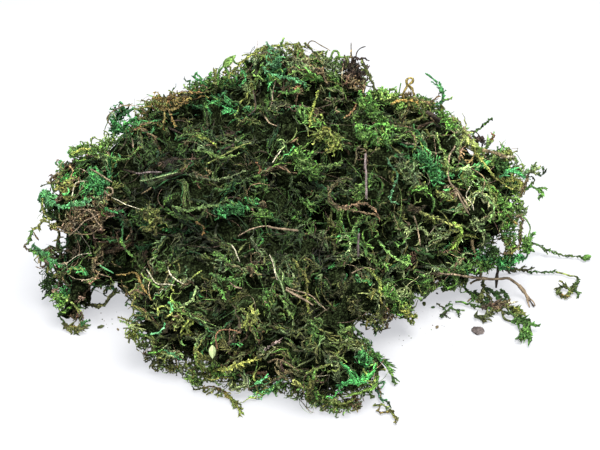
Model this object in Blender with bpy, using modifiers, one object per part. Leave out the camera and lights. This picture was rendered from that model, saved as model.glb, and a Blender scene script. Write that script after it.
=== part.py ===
"""A loose heap of dried, dyed moss: ten tufts that press against each other, the strays that trail out
of them, dead stems caught in them, a leaf and a crumb of bark.

Lengths below are in millimetres and are turned into metres by MM. +X runs along the heap's long side,
the front tuft lies towards -Y, and the heap rests on z = 0. The heap's own origin is moved to the
middle of its base at the end.
"""

import math
import random

import bmesh
import bpy
from mathutils import Matrix, Vector, noise
from mathutils.bvhtree import BVHTree

MM = 0.001

# How tufts and strays meet
SEAM_GAP = 0.6          # between the flat faces where two tufts press together
SEAM_BLEND = 12.0       # how much nearer lobes must be to outweigh others in where a seam runs
REST_GAP = 0.35         # between a stray and what it lies on
CELL_SIZE = 400.0       # of the block that a tuft's room is cut from

# The surface of a tuft
LUMP_HEIGHT = 3.6       # unevenness of the tangle
LUMP_WIDTH = 19.0
FINE_LUMPS = 2.3        # how many small lumps a large one has, side by side
FINE_HEIGHT = 0.5       # of a small lump, as a share of a large one's
LUMP_SHIFT = (7.3, -3.1, 1.7)   # between the noise of one seed and the next
BALL_DETAIL = 4         # subdivisions of the balls that lobes and clods start as
VOXEL = 2.4             # of the remesh that fuses lobes and locks
FACE_AREA = 35.0        # square millimetres a face keeps

# A clod: strands rolled into a knoll that stands partly out of the tuft
CLOD_SPACING = 27.0     # between clods on the tuft
CLOD_RADIUS = (11.0, 17.0)
CLOD_SINK = 0.95        # of its radius, from the outline down to its middle
CLOD_FLATNESS = (0.7, 1.35)

# A lock: strands matted together into a ridge that lies along the tuft
LOCK_LENGTH = (40.0, 62.0)
LOCK_RADIUS = (5.4, 8.0)
LOCK_SINK = 0.75        # of its radius, from the outline down to its middle
LOCK_LIFT = 6.5         # how far its tip rises from there
LOCK_POINTS = 6
LOCK_TURN = 0.55        # radians that a lock may curl sideways over its length
LOCK_STEEPNESS = 0.4    # the most that a lock's heading leans up or down
LOCK_END = 0.25         # of a lock's full radius, at its ends
LOCK_SWELL = (0.12, 0.92)   # of a half wave, where a lock starts and ends on it
LOCK_FULLNESS = 0.8     # below 1, so that a lock stays full for longer

# Where clods and locks are set: spots spread evenly over a lobe, those of them that show
LOBE_SPOTS = 60
HIDDEN_DEPTH = 1.02     # a spot nearer a neighbour's middle than this is covered by it
LOWEST_SPOT = 7.0

CORE_SINK = 6.0         # of a lobe's solid core below its outline, which clods and locks reach
CORE_PRESS = 9.0        # how far the core swells past its outline towards a neighbour
PRESS_DEPTH = (1.1, 1.35)   # of a neighbour, where the core is swollen and where it no longer is
SAG = 14.0              # how far a core sags towards the ground
SAG_HEIGHT = (8.0, 16.0)    # over the ground, where a core sags fully and where it no longer does

# Each tuft: the outlines of its lobes as (centre, radii), the number of its locks, and its colour
TUFTS = {
    "moss_tuft_crown": {
        "lobes": [((-8, 32, 79), (46, 42, 34))],
        "locks": 9, "seed": 3, "colour": (0.030, 0.075, 0.018)},
    "moss_tuft_shoulder": {
        "lobes": [((-62, 30, 58), (40, 36, 32))],
        "locks": 7, "seed": 5, "colour": (0.028, 0.080, 0.022)},
    "moss_tuft_left": {
        "lobes": [((-100, -6, 48), (33, 32, 31)), ((-107, -16, 19), (25, 26, 23))],
        "locks": 8, "seed": 7, "colour": (0.020, 0.095, 0.040)},
    "moss_tuft_middle": {
        "lobes": [((-40, -14, 46), (46, 38, 42))],
        "locks": 8, "seed": 11, "colour": (0.030, 0.085, 0.022)},
    "moss_tuft_centre": {
        "lobes": [((24, -4, 50), (38, 40, 42)), ((35, -25, 21), (27, 26, 25))],
        "locks": 9, "seed": 13, "colour": (0.040, 0.080, 0.018)},
    "moss_tuft_right": {
        "lobes": [((74, 14, 40), (34, 38, 35)), ((70, 2, 20), (28, 26, 24))],
        "locks": 8, "seed": 17, "colour": (0.055, 0.080, 0.016)},
    "moss_tuft_upper_right": {
        "lobes": [((47, 36, 58), (28, 32, 28))],
        "locks": 4, "seed": 31, "colour": (0.045, 0.085, 0.018)},
    "moss_tuft_front": {
        "lobes": [((-56, -58, 25), (27, 30, 29)), ((-24, -73, 26), (36, 33, 31)),
                  ((9, -87, 21), (26, 29, 25)), ((4, -54, 28), (32, 30, 33))],
        "locks": 12, "seed": 19, "colour": (0.045, 0.085, 0.018)},
    "moss_tuft_back_left": {
        "lobes": [((-50, 70, 34), (46, 36, 36))],
        "locks": 7, "seed": 23, "colour": (0.028, 0.080, 0.022)},
    "moss_tuft_back_right": {
        "lobes": [((40, 72, 32), (48, 36, 34))],
        "locks": 7, "seed": 29, "colour": (0.040, 0.080, 0.018)},
}

# Wisps that grow out of a tuft: the tuft, the radius of the sprig and its route, root first
WISPS = [
    ("moss_tuft_shoulder", 2.0, [(-42, 38, 84), (-41, 40, 96), (-42, 40, 103), (-38, 38, 110)]),
    ("moss_tuft_crown", 1.5, [(-34, 32, 104), (-25, 30, 117), (-14, 30, 121), (-4, 30, 120), (-2, 31, 108)]),
    ("moss_tuft_crown", 1.6, [(14, 36, 98), (21, 36, 106), (25, 36, 111), (29, 36, 115)]),
    ("moss_tuft_upper_right", 1.7, [(46, 38, 82), (50, 38, 92), (52, 38, 98), (55, 38, 94), (56, 38, 84)]),
    ("moss_tuft_upper_right", 2.1, [(62, 36, 74), (67, 35, 88), (66, 34, 96), (59, 32, 103)]),
    ("moss_tuft_upper_right", 1.6, [(58, 27, 78), (68, 24, 82), (75, 22, 77)]),
    ("moss_tuft_right", 1.8, [(84, 15, 64), (89, 13, 73), (94, 12, 80)]),
    ("moss_tuft_right", 1.3, [(84, 10, 68), (95, 6, 71), (104, 4, 72)]),
    ("moss_tuft_right", 2.2, [(100, 18, 38), (109, 18, 46), (113, 18, 54), (119, 18, 58), (121, 18, 53)]),
    ("moss_tuft_right", 1.8, [(98, 14, 34), (105, 12, 33), (110, 10, 27), (109, 9, 18), (101, 10, 12)]),
    ("moss_tuft_back_left", 1.6, [(-70, 88, 52), (-78, 96, 60), (-88, 98, 62)]),
    ("moss_tuft_back_right", 1.8, [(62, 92, 46), (70, 100, 54), (80, 101, 53), (84, 96, 47)]),
    ("moss_tuft_back_right", 1.6, [(22, 92, 58), (18, 98, 68), (10, 98, 72)]),
    ("moss_tuft_left", 1.8, [(-121, -12, 50), (-131, -15, 45), (-138, -18, 37), (-137, -20, 31),
                             (-127, -18, 25), (-118, -16, 24)]),
]

# Strays that lie free of the tufts, root first; the radius is that of the foliage
STRAYS = {
    "trailing_strand_upper": {
        "radius": 1.5, "colour": (0.020, 0.160, 0.060),
        "route": [(102, 15, 20), (108, 18, 15), (116, 24, 10), (126, 28, 5), (137, 27, 2), (145, 24, 2),
                  (149, 21, 3)]},
    "trailing_strand_lower": {
        "radius": 1.6, "colour": (0.030, 0.120, 0.040),
        "route": [(96, 7, 8), (104, 8, 4), (115, 9, 2), (126, 9, 2), (134, 5, 2), (139, -3, 3), (137, -11, 4),
                  (130, -15, 4)]},
    "twig_long": {
        "radius": 0.9, "colour": (0.160, 0.085, 0.045),
        "route": [(67, -22, 17), (78, -21, 14), (92, -19, 12), (102, -16, 9), (109, -18, 4), (113, -23, 1)]},
    "sprig_right": {
        "radius": 3.0, "colour": (0.025, 0.110, 0.030),
        "route": [(87, -14, 6), (89, -22, 4), (96, -27, 4), (102, -36, 4), (107, -44, 5), (107, -52, 5),
                  (103, -58, 3)]},
    "sprig_small": {
        "radius": 1.4, "colour": (0.040, 0.120, 0.030),
        "route": [(66, -30, 2), (71, -28, 2), (76, -29, 2), (80, -34, 2), (78, -38, 2)]},
    "sprig_front": {
        "radius": 2.6, "colour": (0.020, 0.180, 0.050),
        "route": [(30, -74, 12), (36, -74, 8), (40, -79, 4), (42, -88, 3)]},
    "sprig_curly": {
        "radius": 1.8, "colour": (0.045, 0.130, 0.025),
        "route": [(30, -101, 8), (34, -103, 3), (38, -108, 2), (39, -115, 2), (35, -122, 2), (31, -121, 2)]},
    "sprig_front_left": {
        "radius": 2.2, "colour": (0.070, 0.090, 0.020),
        "route": [(-55, -94, 3), (-48, -99, 2), (-42, -100, 2), (-36, -105, 2), (-31, -111, 2)]},
    "sprig_foot": {
        "radius": 2.2, "colour": (0.020, 0.140, 0.050),
        "route": [(-124, -38, 3), (-119, -45, 3), (-112, -48, 3), (-105, -46, 3)]},
}

# Dead stems and a leaf that lie on the front of the heap, from end to end
STEMS = {
    "twig_middle": {
        "radius": 0.9, "colour": (0.150, 0.075, 0.045),
        "route": [(27, -24, 88), (27, -33, 81), (27, -40, 72)]},
    "twig_lower": {
        "radius": 0.8, "colour": (0.110, 0.065, 0.040),
        "route": [(24, -45, 61), (23, -46, 54), (23, -47, 45)]},
    "strand_hook": {
        "radius": 0.7, "colour": (0.130, 0.060, 0.035),
        "route": [(9, -34, 76), (10, -37, 71), (13, -40, 68), (20, -42, 67), (31, -42, 65)]},
    "twig_crossed": {
        "radius": 0.8, "colour": (0.140, 0.080, 0.040),
        "route": [(-32, -51, 59), (-27, -50, 61), (-22, -48, 62), (-13, -45, 59), (-5, -40, 55)]},
    "straw_front": {
        "radius": 0.8, "colour": (0.420, 0.300, 0.130),
        "route": [(-11, -81, 49), (-3, -84, 46), (6, -92, 44)]},
    "twig_right": {
        "radius": 0.8, "colour": (0.200, 0.110, 0.080),
        "route": [(71, -18, 65), (74, -21, 60), (78, -24, 54)]},
}
STEM_PUSH = (0.0, -0.866, 0.5)      # stems are laid on from here, so they lift this way off the moss

LEAF_CENTRE = (-43, -96, 25)
LEAF_SIZE = (4.0, 7.5, 0.5)
LEAF_SIDES = (12, 8)    # round its rim and from tip to tip
LEAF_POINT = 0.35       # of its width, lost towards its tips
LEAF_FOLD = 0.9         # how far its sides rise beside the rib
LEAF_COLOUR = (0.300, 0.420, 0.220)

CHIP_CENTRE = (83, -44)
CHIP_SIZE = (7.0, 5.0, 2.2)
CHIP_LUMP = 0.45        # of its size, by which its skin goes in and out
CHIP_LUMPS = 5          # how often it does so from side to side
CHIP_UNDERSIDE = -0.3   # of its height, where it is broken off flat
CHIP_COLOUR = (0.060, 0.045, 0.040)

# Strands, sprigs and stems
TUBE_DETAIL = 2         # bevel resolution, which gives eight sides
WISP_SPACING = 3.5      # of its radius, between the points of a wisp
STRAY_STRETCH = 5.5     # of its radius, between the points of a stray
STRAY_SPACING = 5.0     # the least distance between them
ROOT_RADIUS = 0.7       # at a strand's root, of its own radius
ROOT_LENGTH = 0.5       # of the strand, over which it would grow by a whole radius
TIP_RADIUS = 0.35       # at a strand's tip
TIP_LENGTH = 0.4        # of the strand, over which it runs out into its tip
STEM_NARROWING = 0.3    # of a stem's radius, lost from root to tip
STEM_SPACING = 4.0      # between the points of a stem

# Laying strays and stems against the moss
PUSHES = 60             # rounds in which a stray is eased off the moss
PUSH_SPOTS = (0.0, 0.25, 0.5, 0.75, 1.0)    # along each segment of a stray, where its gap is measured
CLEAR_ENOUGH = 0.02     # what a stray may still lack of its gap
STEM_SPOTS = 0.5        # between the spots where a stem's gap is measured
STEM_STEP = 0.25        # by which a stem or the leaf is lifted until it is clear
STEM_TRIES = 200
PROBE = (0.013, 0.017, 1.0)     # nearly upright, so that it doesn't run along an edge
PROBE_STEP = 0.001      # past each surface that the probe crosses
MOST_CROSSINGS = 50

# Closing what cuts leave open
CUT_TOLERANCE = 1e-7    # in metres
SMALLEST_EDGE = 0.04    # what a cut leaves shorter than this is closed up
CAP_WELD = 0.001        # between a strand's caps and its sides


def mm(values):
    return Vector(values) * MM


def collection(name):
    group = bpy.data.collections.new(name)
    bpy.context.scene.collection.children.link(group)
    return group


def material(name, colour, roughness=0.85):
    made = bpy.data.materials.new(name)
    made.use_nodes = True
    shader = made.node_tree.nodes["Principled BSDF"]
    shader.inputs["Base Color"].default_value = (*colour, 1.0)
    shader.inputs["Roughness"].default_value = roughness
    shader.inputs["Metallic"].default_value = 0.0
    return made


def mesh_object(name, mesh, group):
    piece = bpy.data.objects.new(name, mesh)
    group.objects.link(piece)
    return piece


def remove(piece):
    bpy.data.objects.remove(piece, do_unlink=True)


def evaluated_mesh(piece):
    graph = bpy.context.evaluated_depsgraph_get()
    return bpy.data.meshes.new_from_object(piece.evaluated_get(graph))


def apply_modifiers(piece):
    piece.data = evaluated_mesh(piece)
    piece.modifiers.clear()


def smooth_route(route, spacing):
    """Points about spacing apart on a smooth curve through the route's own points, all in millimetres."""
    knots = [Vector(point) for point in route]
    before = knots[0] * 2 - knots[1]
    after = knots[-1] * 2 - knots[-2]
    padded = [before, *knots, after]
    points = [knots[0]]
    for index in range(1, len(padded) - 2):
        a, b, c, d = padded[index - 1:index + 3]
        steps = max(1, round((c - b).length / spacing))
        for step in range(1, steps + 1):
            t = step / steps
            points.append(0.5 * (2 * b + (c - a) * t + (2 * a - 5 * b + 4 * c - d) * t ** 2
                                 + (3 * b - a - 3 * c + d) * t ** 3))
    return points


def tube(name, points, radius, taper, group):
    """A closed strand along points, as a mesh. taper(t) scales its radius from root (0) to tip (1)."""
    curve = bpy.data.curves.new(name, "CURVE")
    curve.dimensions = "3D"
    curve.bevel_depth = radius * MM
    curve.bevel_resolution = TUBE_DETAIL
    curve.use_fill_caps = True
    spline = curve.splines.new("POLY")
    spline.points.add(len(points) - 1)
    for index, point in enumerate(points):
        spline.points[index].co = (*mm(point), 1.0)
        spline.points[index].radius = taper(index / (len(points) - 1))
    wire = mesh_object(name + "_curve", curve, group)
    made = mesh_object(name, evaluated_mesh(wire), group)
    made.matrix_world = wire.matrix_world
    remove(wire)
    clean(made, CAP_WELD)
    return made


def clean(piece, distance):
    """Close up what is shorter than distance (in millimetres) and split all faces into triangles."""
    shape = bmesh.new()
    shape.from_mesh(piece.data)
    bmesh.ops.remove_doubles(shape, verts=shape.verts, dist=distance * MM)
    bmesh.ops.dissolve_degenerate(shape, edges=shape.edges, dist=distance * MM)
    bmesh.ops.triangulate(shape, faces=shape.faces)
    bmesh.ops.recalc_face_normals(shape, faces=shape.faces)
    shape.to_mesh(piece.data)
    shape.free()


def lock_taper(t):
    """Thin at both ends, full in the middle."""
    start, end = LOCK_SWELL
    swell = math.sin(math.pi * (start + (end - start) * t)) ** LOCK_FULLNESS
    return LOCK_END + (1 - LOCK_END) * swell


def strand_taper(t):
    """A foliage sprig: a little thinner at its root, pointed at its tip."""
    root = ROOT_RADIUS + t / ROOT_LENGTH
    tip = TIP_RADIUS + (1 - TIP_RADIUS) * (1 - t) / TIP_LENGTH
    return min(1.0, root, tip)


def stem_taper(t):
    return 1.0 - STEM_NARROWING * t


# ---- tufts

def ellipsoid_depth(point, lobe):
    """Below 1 inside the lobe, above 1 outside."""
    centre, radii = lobe
    return math.sqrt(sum(((p - c) / r) ** 2 for p, c, r in zip(point, centre, radii)))


def other_lobes(name):
    return [lobe for other, tuft in TUFTS.items() if other != name for lobe in tuft["lobes"]]


def on_lobe(lobe, direction, lift):
    """The lobe's surface in that direction from its centre, raised by lift."""
    centre, radii = (Vector(values) for values in lobe)
    unit = Vector(direction).normalized()
    reach = 1.0 / math.sqrt(sum((u / r) ** 2 for u, r in zip(unit, radii)))
    return centre + unit * (reach + lift)


def exposed_directions(name, count, dice):
    """Directions in which the tuft's lobes show, spread evenly, as (lobe, direction) pairs."""
    tuft = TUFTS[name]
    golden = math.pi * (3 - math.sqrt(5))
    found = []
    for lobe in tuft["lobes"]:
        rivals = other_lobes(name) + [other for other in tuft["lobes"] if other is not lobe]
        turn = dice.uniform(0, math.tau)
        for index in range(LOBE_SPOTS):
            z = 1 - (2 * index + 1) / LOBE_SPOTS
            flat = math.sqrt(1 - z * z)
            angle = index * golden + turn
            direction = Vector((flat * math.cos(angle), flat * math.sin(angle), z))
            point = on_lobe(lobe, direction, 0)
            hidden = any(ellipsoid_depth(point, rival) < HIDDEN_DEPTH for rival in rivals)
            if point.z > LOWEST_SPOT and not hidden:
                found.append((lobe, direction))
    stride = max(1.0, len(found) / count)
    return [found[int(index * stride)] for index in range(min(count, len(found)))]


def lock(name, lobe, direction, dice, group):
    """A ridge that follows the lobe from its root and lifts off towards its tip."""
    length = dice.uniform(*LOCK_LENGTH)
    radius = dice.uniform(*LOCK_RADIUS)
    size = sum(lobe[1]) / 3
    outward = direction.normalized()
    steepness = (-LOCK_STEEPNESS, LOCK_STEEPNESS)
    along = outward.cross(Vector((dice.uniform(-1, 1), dice.uniform(-1, 1), dice.uniform(*steepness))))
    along.normalize()
    curl = dice.uniform(-LOCK_TURN, LOCK_TURN)
    points = []
    for index in range(LOCK_POINTS):
        t = index / (LOCK_POINTS - 1)
        swing = Matrix.Rotation((t - 0.5) * curl, 3, outward) @ along
        angle = (t - 0.5) * length / size
        facing = outward * math.cos(angle) + swing * math.sin(angle)
        points.append(on_lobe(lobe, facing, -LOCK_SINK * radius + LOCK_LIFT * t ** 2))
    return tube(name, points, radius, lock_taper, group)


def clod(lobe, direction, dice, group):
    """A knoll of uneven sides, sunk into the lobe's surface."""
    radius = dice.uniform(*CLOD_RADIUS)
    radii = [radius * dice.uniform(*CLOD_FLATNESS) for _ in range(3)]
    return ball((on_lobe(lobe, direction, -CLOD_SINK * radius), radii), group)


def ball(lobe, group):
    centre, radii = lobe
    bpy.ops.mesh.primitive_ico_sphere_add(subdivisions=BALL_DETAIL, radius=1.0)
    made = bpy.context.active_object
    made.data.transform(Matrix.Translation(mm(centre)) @ Matrix.Diagonal((*mm(radii), 1.0)))
    for owner in made.users_collection:
        owner.objects.unlink(made)
    group.objects.link(made)
    return made


def falling(value, limits):
    """1 up to the first limit, 0 from the second on."""
    full, none = limits
    return min(1.0, max(0.0, (none - value) / (none - full)))


def core(name, lobe, group):
    """A lobe's inner body: sunk where it shows, swollen where it presses on a neighbour."""
    made = ball(lobe, group)
    centre = mm(lobe[0])
    rivals = other_lobes(name)
    for corner in made.data.vertices:
        point = corner.co / MM
        pressed = falling(min(ellipsoid_depth(point, rival) for rival in rivals), PRESS_DEPTH)
        change = pressed * CORE_PRESS - (1 - pressed) * CORE_SINK
        corner.co += (corner.co - centre).normalized() * change * MM
        corner.co.z -= falling(point.z, SAG_HEIGHT) * SAG * MM
    return made


def joined(name, pieces, group):
    shape = bmesh.new()
    for piece in pieces:
        shape.from_mesh(piece.data)
        remove(piece)
    mesh = bpy.data.meshes.new(name)
    shape.to_mesh(mesh)
    shape.free()
    return mesh_object(name, mesh, group)


def roughen(piece, seed):
    """Lumps of two sizes, along the surface's own normals."""
    shift = Vector(LUMP_SHIFT) * seed
    shape = bmesh.new()
    shape.from_mesh(piece.data)
    shape.normal_update()
    moved = []
    for point in shape.verts:
        place = point.co / (LUMP_WIDTH * MM) + shift
        height = noise.noise(place) + FINE_HEIGHT * noise.noise(place * FINE_LUMPS)
        moved.append(point.co + point.normal * height * LUMP_HEIGHT * MM)
    for point, place in zip(shape.verts, moved):
        point.co = place
    shape.to_mesh(piece.data)
    shape.free()


def surface_area(piece):
    return sum(face.area for face in piece.data.polygons) / MM ** 2


def thin_out(piece):
    faces = len(piece.data.polygons) * 2
    decimate = piece.modifiers.new("fewer_faces", "DECIMATE")
    decimate.ratio = min(1.0, surface_area(piece) / FACE_AREA / faces)
    decimate.use_collapse_triangulate = True
    apply_modifiers(piece)


def boolean(piece, cutter, operation):
    change = piece.modifiers.new(operation.lower(), "BOOLEAN")
    change.operation = operation
    change.solver = "EXACT"
    change.object = cutter
    apply_modifiers(piece)


def seam(name, other):
    """The plane where two tufts press together, as its point and the normal out of the first.

    It is the mean of the planes between their lobes, in which the lobes that press hardest count most.
    """
    total = 0.0
    middle = Vector()
    normal = Vector()
    for lobe in TUFTS[name]["lobes"]:
        for rival in TUFTS[other]["lobes"]:
            offset = Vector(rival[0]) - Vector(lobe[0])
            towards = offset.normalized()
            reach = (on_lobe(lobe, towards, 0) - Vector(lobe[0])).length
            back = (on_lobe(rival, -towards, 0) - Vector(rival[0])).length
            share = (offset.length ** 2 + reach ** 2 - back ** 2) / (2 * offset.length)
            weight = math.exp((reach + back - offset.length) / SEAM_BLEND)
            total += weight
            middle += (Vector(lobe[0]) + towards * share) * weight
            normal += towards * weight
    normal.normalize()
    return middle / total - normal * SEAM_GAP / 2, normal


def room(name, group):
    """The convex room that a tuft may fill: above the ground and on its own side of every seam."""
    shape = bmesh.new()
    lift = Matrix.Translation((0, 0, CELL_SIZE / 2 * MM))
    bmesh.ops.create_cube(shape, size=CELL_SIZE * MM, matrix=lift)
    for other in TUFTS:
        if other == name:
            continue
        point, normal = seam(name, other)
        cut = bmesh.ops.bisect_plane(
            shape, geom=shape.verts[:] + shape.edges[:] + shape.faces[:], dist=CUT_TOLERANCE,
            plane_co=mm(point), plane_no=normal, clear_outer=True)
        rim = [item for item in cut["geom_cut"] if isinstance(item, bmesh.types.BMEdge)]
        if rim:
            bmesh.ops.edgeloop_fill(shape, edges=rim)
    bmesh.ops.recalc_face_normals(shape, faces=shape.faces)
    mesh = bpy.data.meshes.new(name + "_room")
    shape.to_mesh(mesh)
    shape.free()
    made = mesh_object(name + "_room", mesh, group)
    made.hide_render = True
    made.display_type = "WIRE"
    return made


def keep_largest(piece):
    """Drop crumbs that a cut has parted from the piece, or that hang on it by a corner alone."""
    shape = bmesh.new()
    shape.from_mesh(piece.data)
    islands = []
    left = set(shape.faces)
    while left:
        island = []
        queue = [left.pop()]
        while queue:
            face = queue.pop()
            island.append(face)
            for edge in face.edges:
                for other in edge.link_faces:
                    if other in left:
                        left.remove(other)
                        queue.append(other)
        islands.append(island)
    islands.sort(key=len)
    for island in islands[:-1]:
        bmesh.ops.delete(shape, geom=island, context="FACES")
    shape.to_mesh(piece.data)
    shape.free()


def make_tuft(name, group, cutters):
    tuft = TUFTS[name]
    dice = random.Random(tuft["seed"])
    shapes = [core(name, lobe, group) for lobe in tuft["lobes"]]
    spread = sum(radii[0] * radii[1] for _, radii in tuft["lobes"]) * 2 * math.pi
    for lobe, direction in exposed_directions(name, round(spread / CLOD_SPACING ** 2), dice):
        shapes.append(clod(lobe, direction, dice, group))
    for index, (lobe, direction) in enumerate(exposed_directions(name, tuft["locks"], dice)):
        shapes.append(lock(f"{name}_lock_{index}", lobe, direction, dice, group))
    piece = joined(name, shapes, group)
    remesh = piece.modifiers.new("fuse", "REMESH")
    remesh.mode = "VOXEL"
    remesh.voxel_size = VOXEL * MM
    apply_modifiers(piece)
    roughen(piece, tuft["seed"])
    thin_out(piece)
    for index, (owner, radius, route) in enumerate(WISPS):
        if owner == name:
            points = smooth_route(route, WISP_SPACING * radius)
            wisp = tube(f"{name}_wisp_{index}", points, radius, strand_taper, cutters)
            boolean(piece, wisp, "UNION")
            remove(wisp)
    boolean(piece, room(name, cutters), "INTERSECT")
    clean(piece, SMALLEST_EDGE)
    keep_largest(piece)
    heart = mm(tuft["lobes"][0][0])
    piece.data.transform(Matrix.Translation(-heart))
    piece.location = heart
    piece.data.materials.append(material(name + "_colour", tuft["colour"]))
    return piece


# ---- strays, stems, leaf and chip

def surface_tree(pieces):
    """All tufts as one tree of triangles, in world millimetres."""
    points = []
    faces = []
    for piece in pieces:
        start = len(points)
        points.extend((piece.matrix_world @ corner.co) / MM for corner in piece.data.vertices)
        faces.extend([start + corner for corner in face.vertices] for face in piece.data.polygons)
    return BVHTree.FromPolygons(points, faces)


def inside(tree, point):
    """True if a ray up from the point leaves the moss an odd number of times."""
    crossings = 0
    start = point.copy()
    up = Vector(PROBE).normalized()
    while crossings < MOST_CROSSINGS:
        place, _, _, _ = tree.ray_cast(start, up)
        if place is None:
            break
        crossings += 1
        start = place + up * PROBE_STEP
    return crossings % 2 == 1


def clearance(tree, point):
    """The distance to the moss, negative inside it, and the direction that leads out."""
    place, _, _, distance = tree.find_nearest(point)
    outward = (point - place).normalized()
    if inside(tree, point):
        return -distance, -outward
    return distance, outward


def laid_beside(tree, route, radius, taper):
    """The route's points, moved off the tufts and onto the ground until they only touch them."""
    points = smooth_route(route, max(STRAY_STRETCH * radius, STRAY_SPACING))
    last = len(points) - 1
    for _ in range(PUSHES):
        worst = 0.0
        for index in range(last):
            start, end = points[index], points[index + 1]
            for t in PUSH_SPOTS:
                needed = radius * taper((index + t) / last) + REST_GAP
                gap, outward = clearance(tree, start.lerp(end, t))
                if gap < needed:
                    worst = max(worst, needed - gap)
                    start += outward * (needed - gap) * (1 - t)
                    end += outward * (needed - gap) * t
        for index, point in enumerate(points):
            point.z = max(point.z, radius * taper(index / last))
        if worst < CLEAR_ENOUGH:
            break
    return points


def make_stray(name, tree, group):
    stray = STRAYS[name]
    taper = stem_taper if name.startswith("twig") else strand_taper
    points = laid_beside(tree, stray["route"], stray["radius"], taper)
    piece = tube(name, points, stray["radius"], taper, group)
    return finish_piece(piece, points[0], stray["colour"])


def make_stem(name, tree, group):
    """A stem keeps its own line and is lifted off the moss until it clears it all along."""
    stem = STEMS[name]
    push = Vector(STEM_PUSH).normalized()
    points = smooth_route(stem["route"], STEM_SPACING)
    needed = stem["radius"] + REST_GAP
    for _ in range(STEM_TRIES):
        tightest = min(clearance(tree, point)[0] for point in smooth_route(points, STEM_SPOTS))
        if tightest >= needed:
            break
        points = [point + push * STEM_STEP for point in points]
    piece = tube(name, points, stem["radius"], stem_taper, group)
    return finish_piece(piece, points[0], stem["colour"])


def finish_piece(piece, root, colour):
    """The piece's origin goes to its root, and it gets its colour."""
    origin = mm(root)
    piece.data.transform(Matrix.Translation(-origin))
    piece.location = origin
    piece.data.shade_smooth()
    piece.data.materials.append(material(piece.name + "_colour", colour))
    return piece


def make_leaf(tree, group):
    """A thin pointed leaf, folded a little along its rib, leaning on the front tuft."""
    width, length, thickness = LEAF_SIZE
    round_rim, along_rib = LEAF_SIDES
    bpy.ops.mesh.primitive_uv_sphere_add(segments=round_rim, ring_count=along_rib, radius=0.5)
    leaf = bpy.context.active_object
    leaf.name = "leaf_pale"
    for owner in leaf.users_collection:
        owner.objects.unlink(leaf)
    group.objects.link(leaf)
    for corner in leaf.data.vertices:
        x, y, z = corner.co
        narrow = 1 - (2 * y) ** 2 * LEAF_POINT
        corner.co = mm((x * width * narrow, y * length, z * thickness + abs(x) * LEAF_FOLD))
    push = Vector(STEM_PUSH).normalized()
    centre = Vector(LEAF_CENTRE)
    lean = push.to_track_quat("Z", "Y").to_matrix().to_4x4()
    for _ in range(STEM_TRIES):
        corners = [centre + (lean @ corner.co) / MM for corner in leaf.data.vertices]
        if min(clearance(tree, corner)[0] for corner in corners) >= REST_GAP:
            break
        centre += push * STEM_STEP
    leaf.rotation_euler = lean.to_euler()
    leaf.location = mm(centre)
    leaf.data.materials.append(material("leaf_pale_colour", LEAF_COLOUR, 0.6))
    return leaf


def make_chip(group):
    """A flat broken crumb of bark that lies on the ground beside the heap."""
    width, depth, height = CHIP_SIZE
    bpy.ops.mesh.primitive_ico_sphere_add(subdivisions=2, radius=0.5)
    chip = bpy.context.active_object
    chip.name = "bark_chip"
    for owner in chip.users_collection:
        owner.objects.unlink(chip)
    group.objects.link(chip)
    for corner in chip.data.vertices:
        rough = 1 + CHIP_LUMP * noise.noise(corner.co * CHIP_LUMPS)
        x, y, z = corner.co * rough
        corner.co = mm((x * width, y * depth, max(z, CHIP_UNDERSIDE) * height))
    lowest = min(corner.co.z for corner in chip.data.vertices)
    chip.location = mm((*CHIP_CENTRE, 0)) - Vector((0, 0, lowest))
    chip.data.materials.append(material("bark_chip_colour", CHIP_COLOUR))
    return chip


def main():
    for old in list(bpy.data.objects):
        bpy.data.objects.remove(old, do_unlink=True)
    heap = collection("moss_clump")
    cutters = collection("cutters")

    tufts = [make_tuft(name, heap, cutters) for name in TUFTS]
    bpy.context.view_layer.update()
    tree = surface_tree(tufts)
    pieces = tufts + [make_stray(name, tree, heap) for name in STRAYS]
    pieces += [make_stem(name, tree, heap) for name in STEMS]
    pieces += [make_leaf(tree, heap), make_chip(heap)]

    base = bpy.data.objects.new("heap_base", None)
    heap.objects.link(base)
    for piece in pieces:
        piece.parent = base
    bpy.context.view_layer.update()
    corners = [piece.matrix_world @ corner.co for piece in pieces for corner in piece.data.vertices]
    lows = [min(corner[axis] for corner in corners) for axis in range(3)]
    highs = [max(corner[axis] for corner in corners) for axis in range(3)]
    base.location = (-(lows[0] + highs[0]) / 2, -(lows[1] + highs[1]) / 2, -lows[2])
    for piece in pieces:
        faces = len(piece.data.polygons)
        print(f"{piece.name}: {faces} faces")
    print("heap base moved by", [round(value / MM, 2) for value in base.location],
          "size", [round((high - low) / MM, 1) for low, high in zip(lows, highs)],
          "faces", sum(len(piece.data.polygons) for piece in pieces))


main()
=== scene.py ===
import math

import bmesh
import bpy
import numpy as np
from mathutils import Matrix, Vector, noise
from mathutils.bvhtree import BVHTree


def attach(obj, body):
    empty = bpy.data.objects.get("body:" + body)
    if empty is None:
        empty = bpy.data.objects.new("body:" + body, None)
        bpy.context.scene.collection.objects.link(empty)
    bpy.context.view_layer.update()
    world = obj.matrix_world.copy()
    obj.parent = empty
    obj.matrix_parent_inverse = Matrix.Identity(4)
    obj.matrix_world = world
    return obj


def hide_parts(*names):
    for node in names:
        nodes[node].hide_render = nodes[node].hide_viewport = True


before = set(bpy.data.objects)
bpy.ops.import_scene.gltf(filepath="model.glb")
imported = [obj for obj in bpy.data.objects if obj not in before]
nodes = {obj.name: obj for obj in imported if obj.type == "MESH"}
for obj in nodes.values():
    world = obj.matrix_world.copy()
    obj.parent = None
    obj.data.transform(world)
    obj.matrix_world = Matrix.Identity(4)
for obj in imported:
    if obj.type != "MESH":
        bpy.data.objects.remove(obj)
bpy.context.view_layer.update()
mm = 0.001                  # every length below is in millimetres
print("frame loaded:", len(nodes), "nodes")

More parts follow.
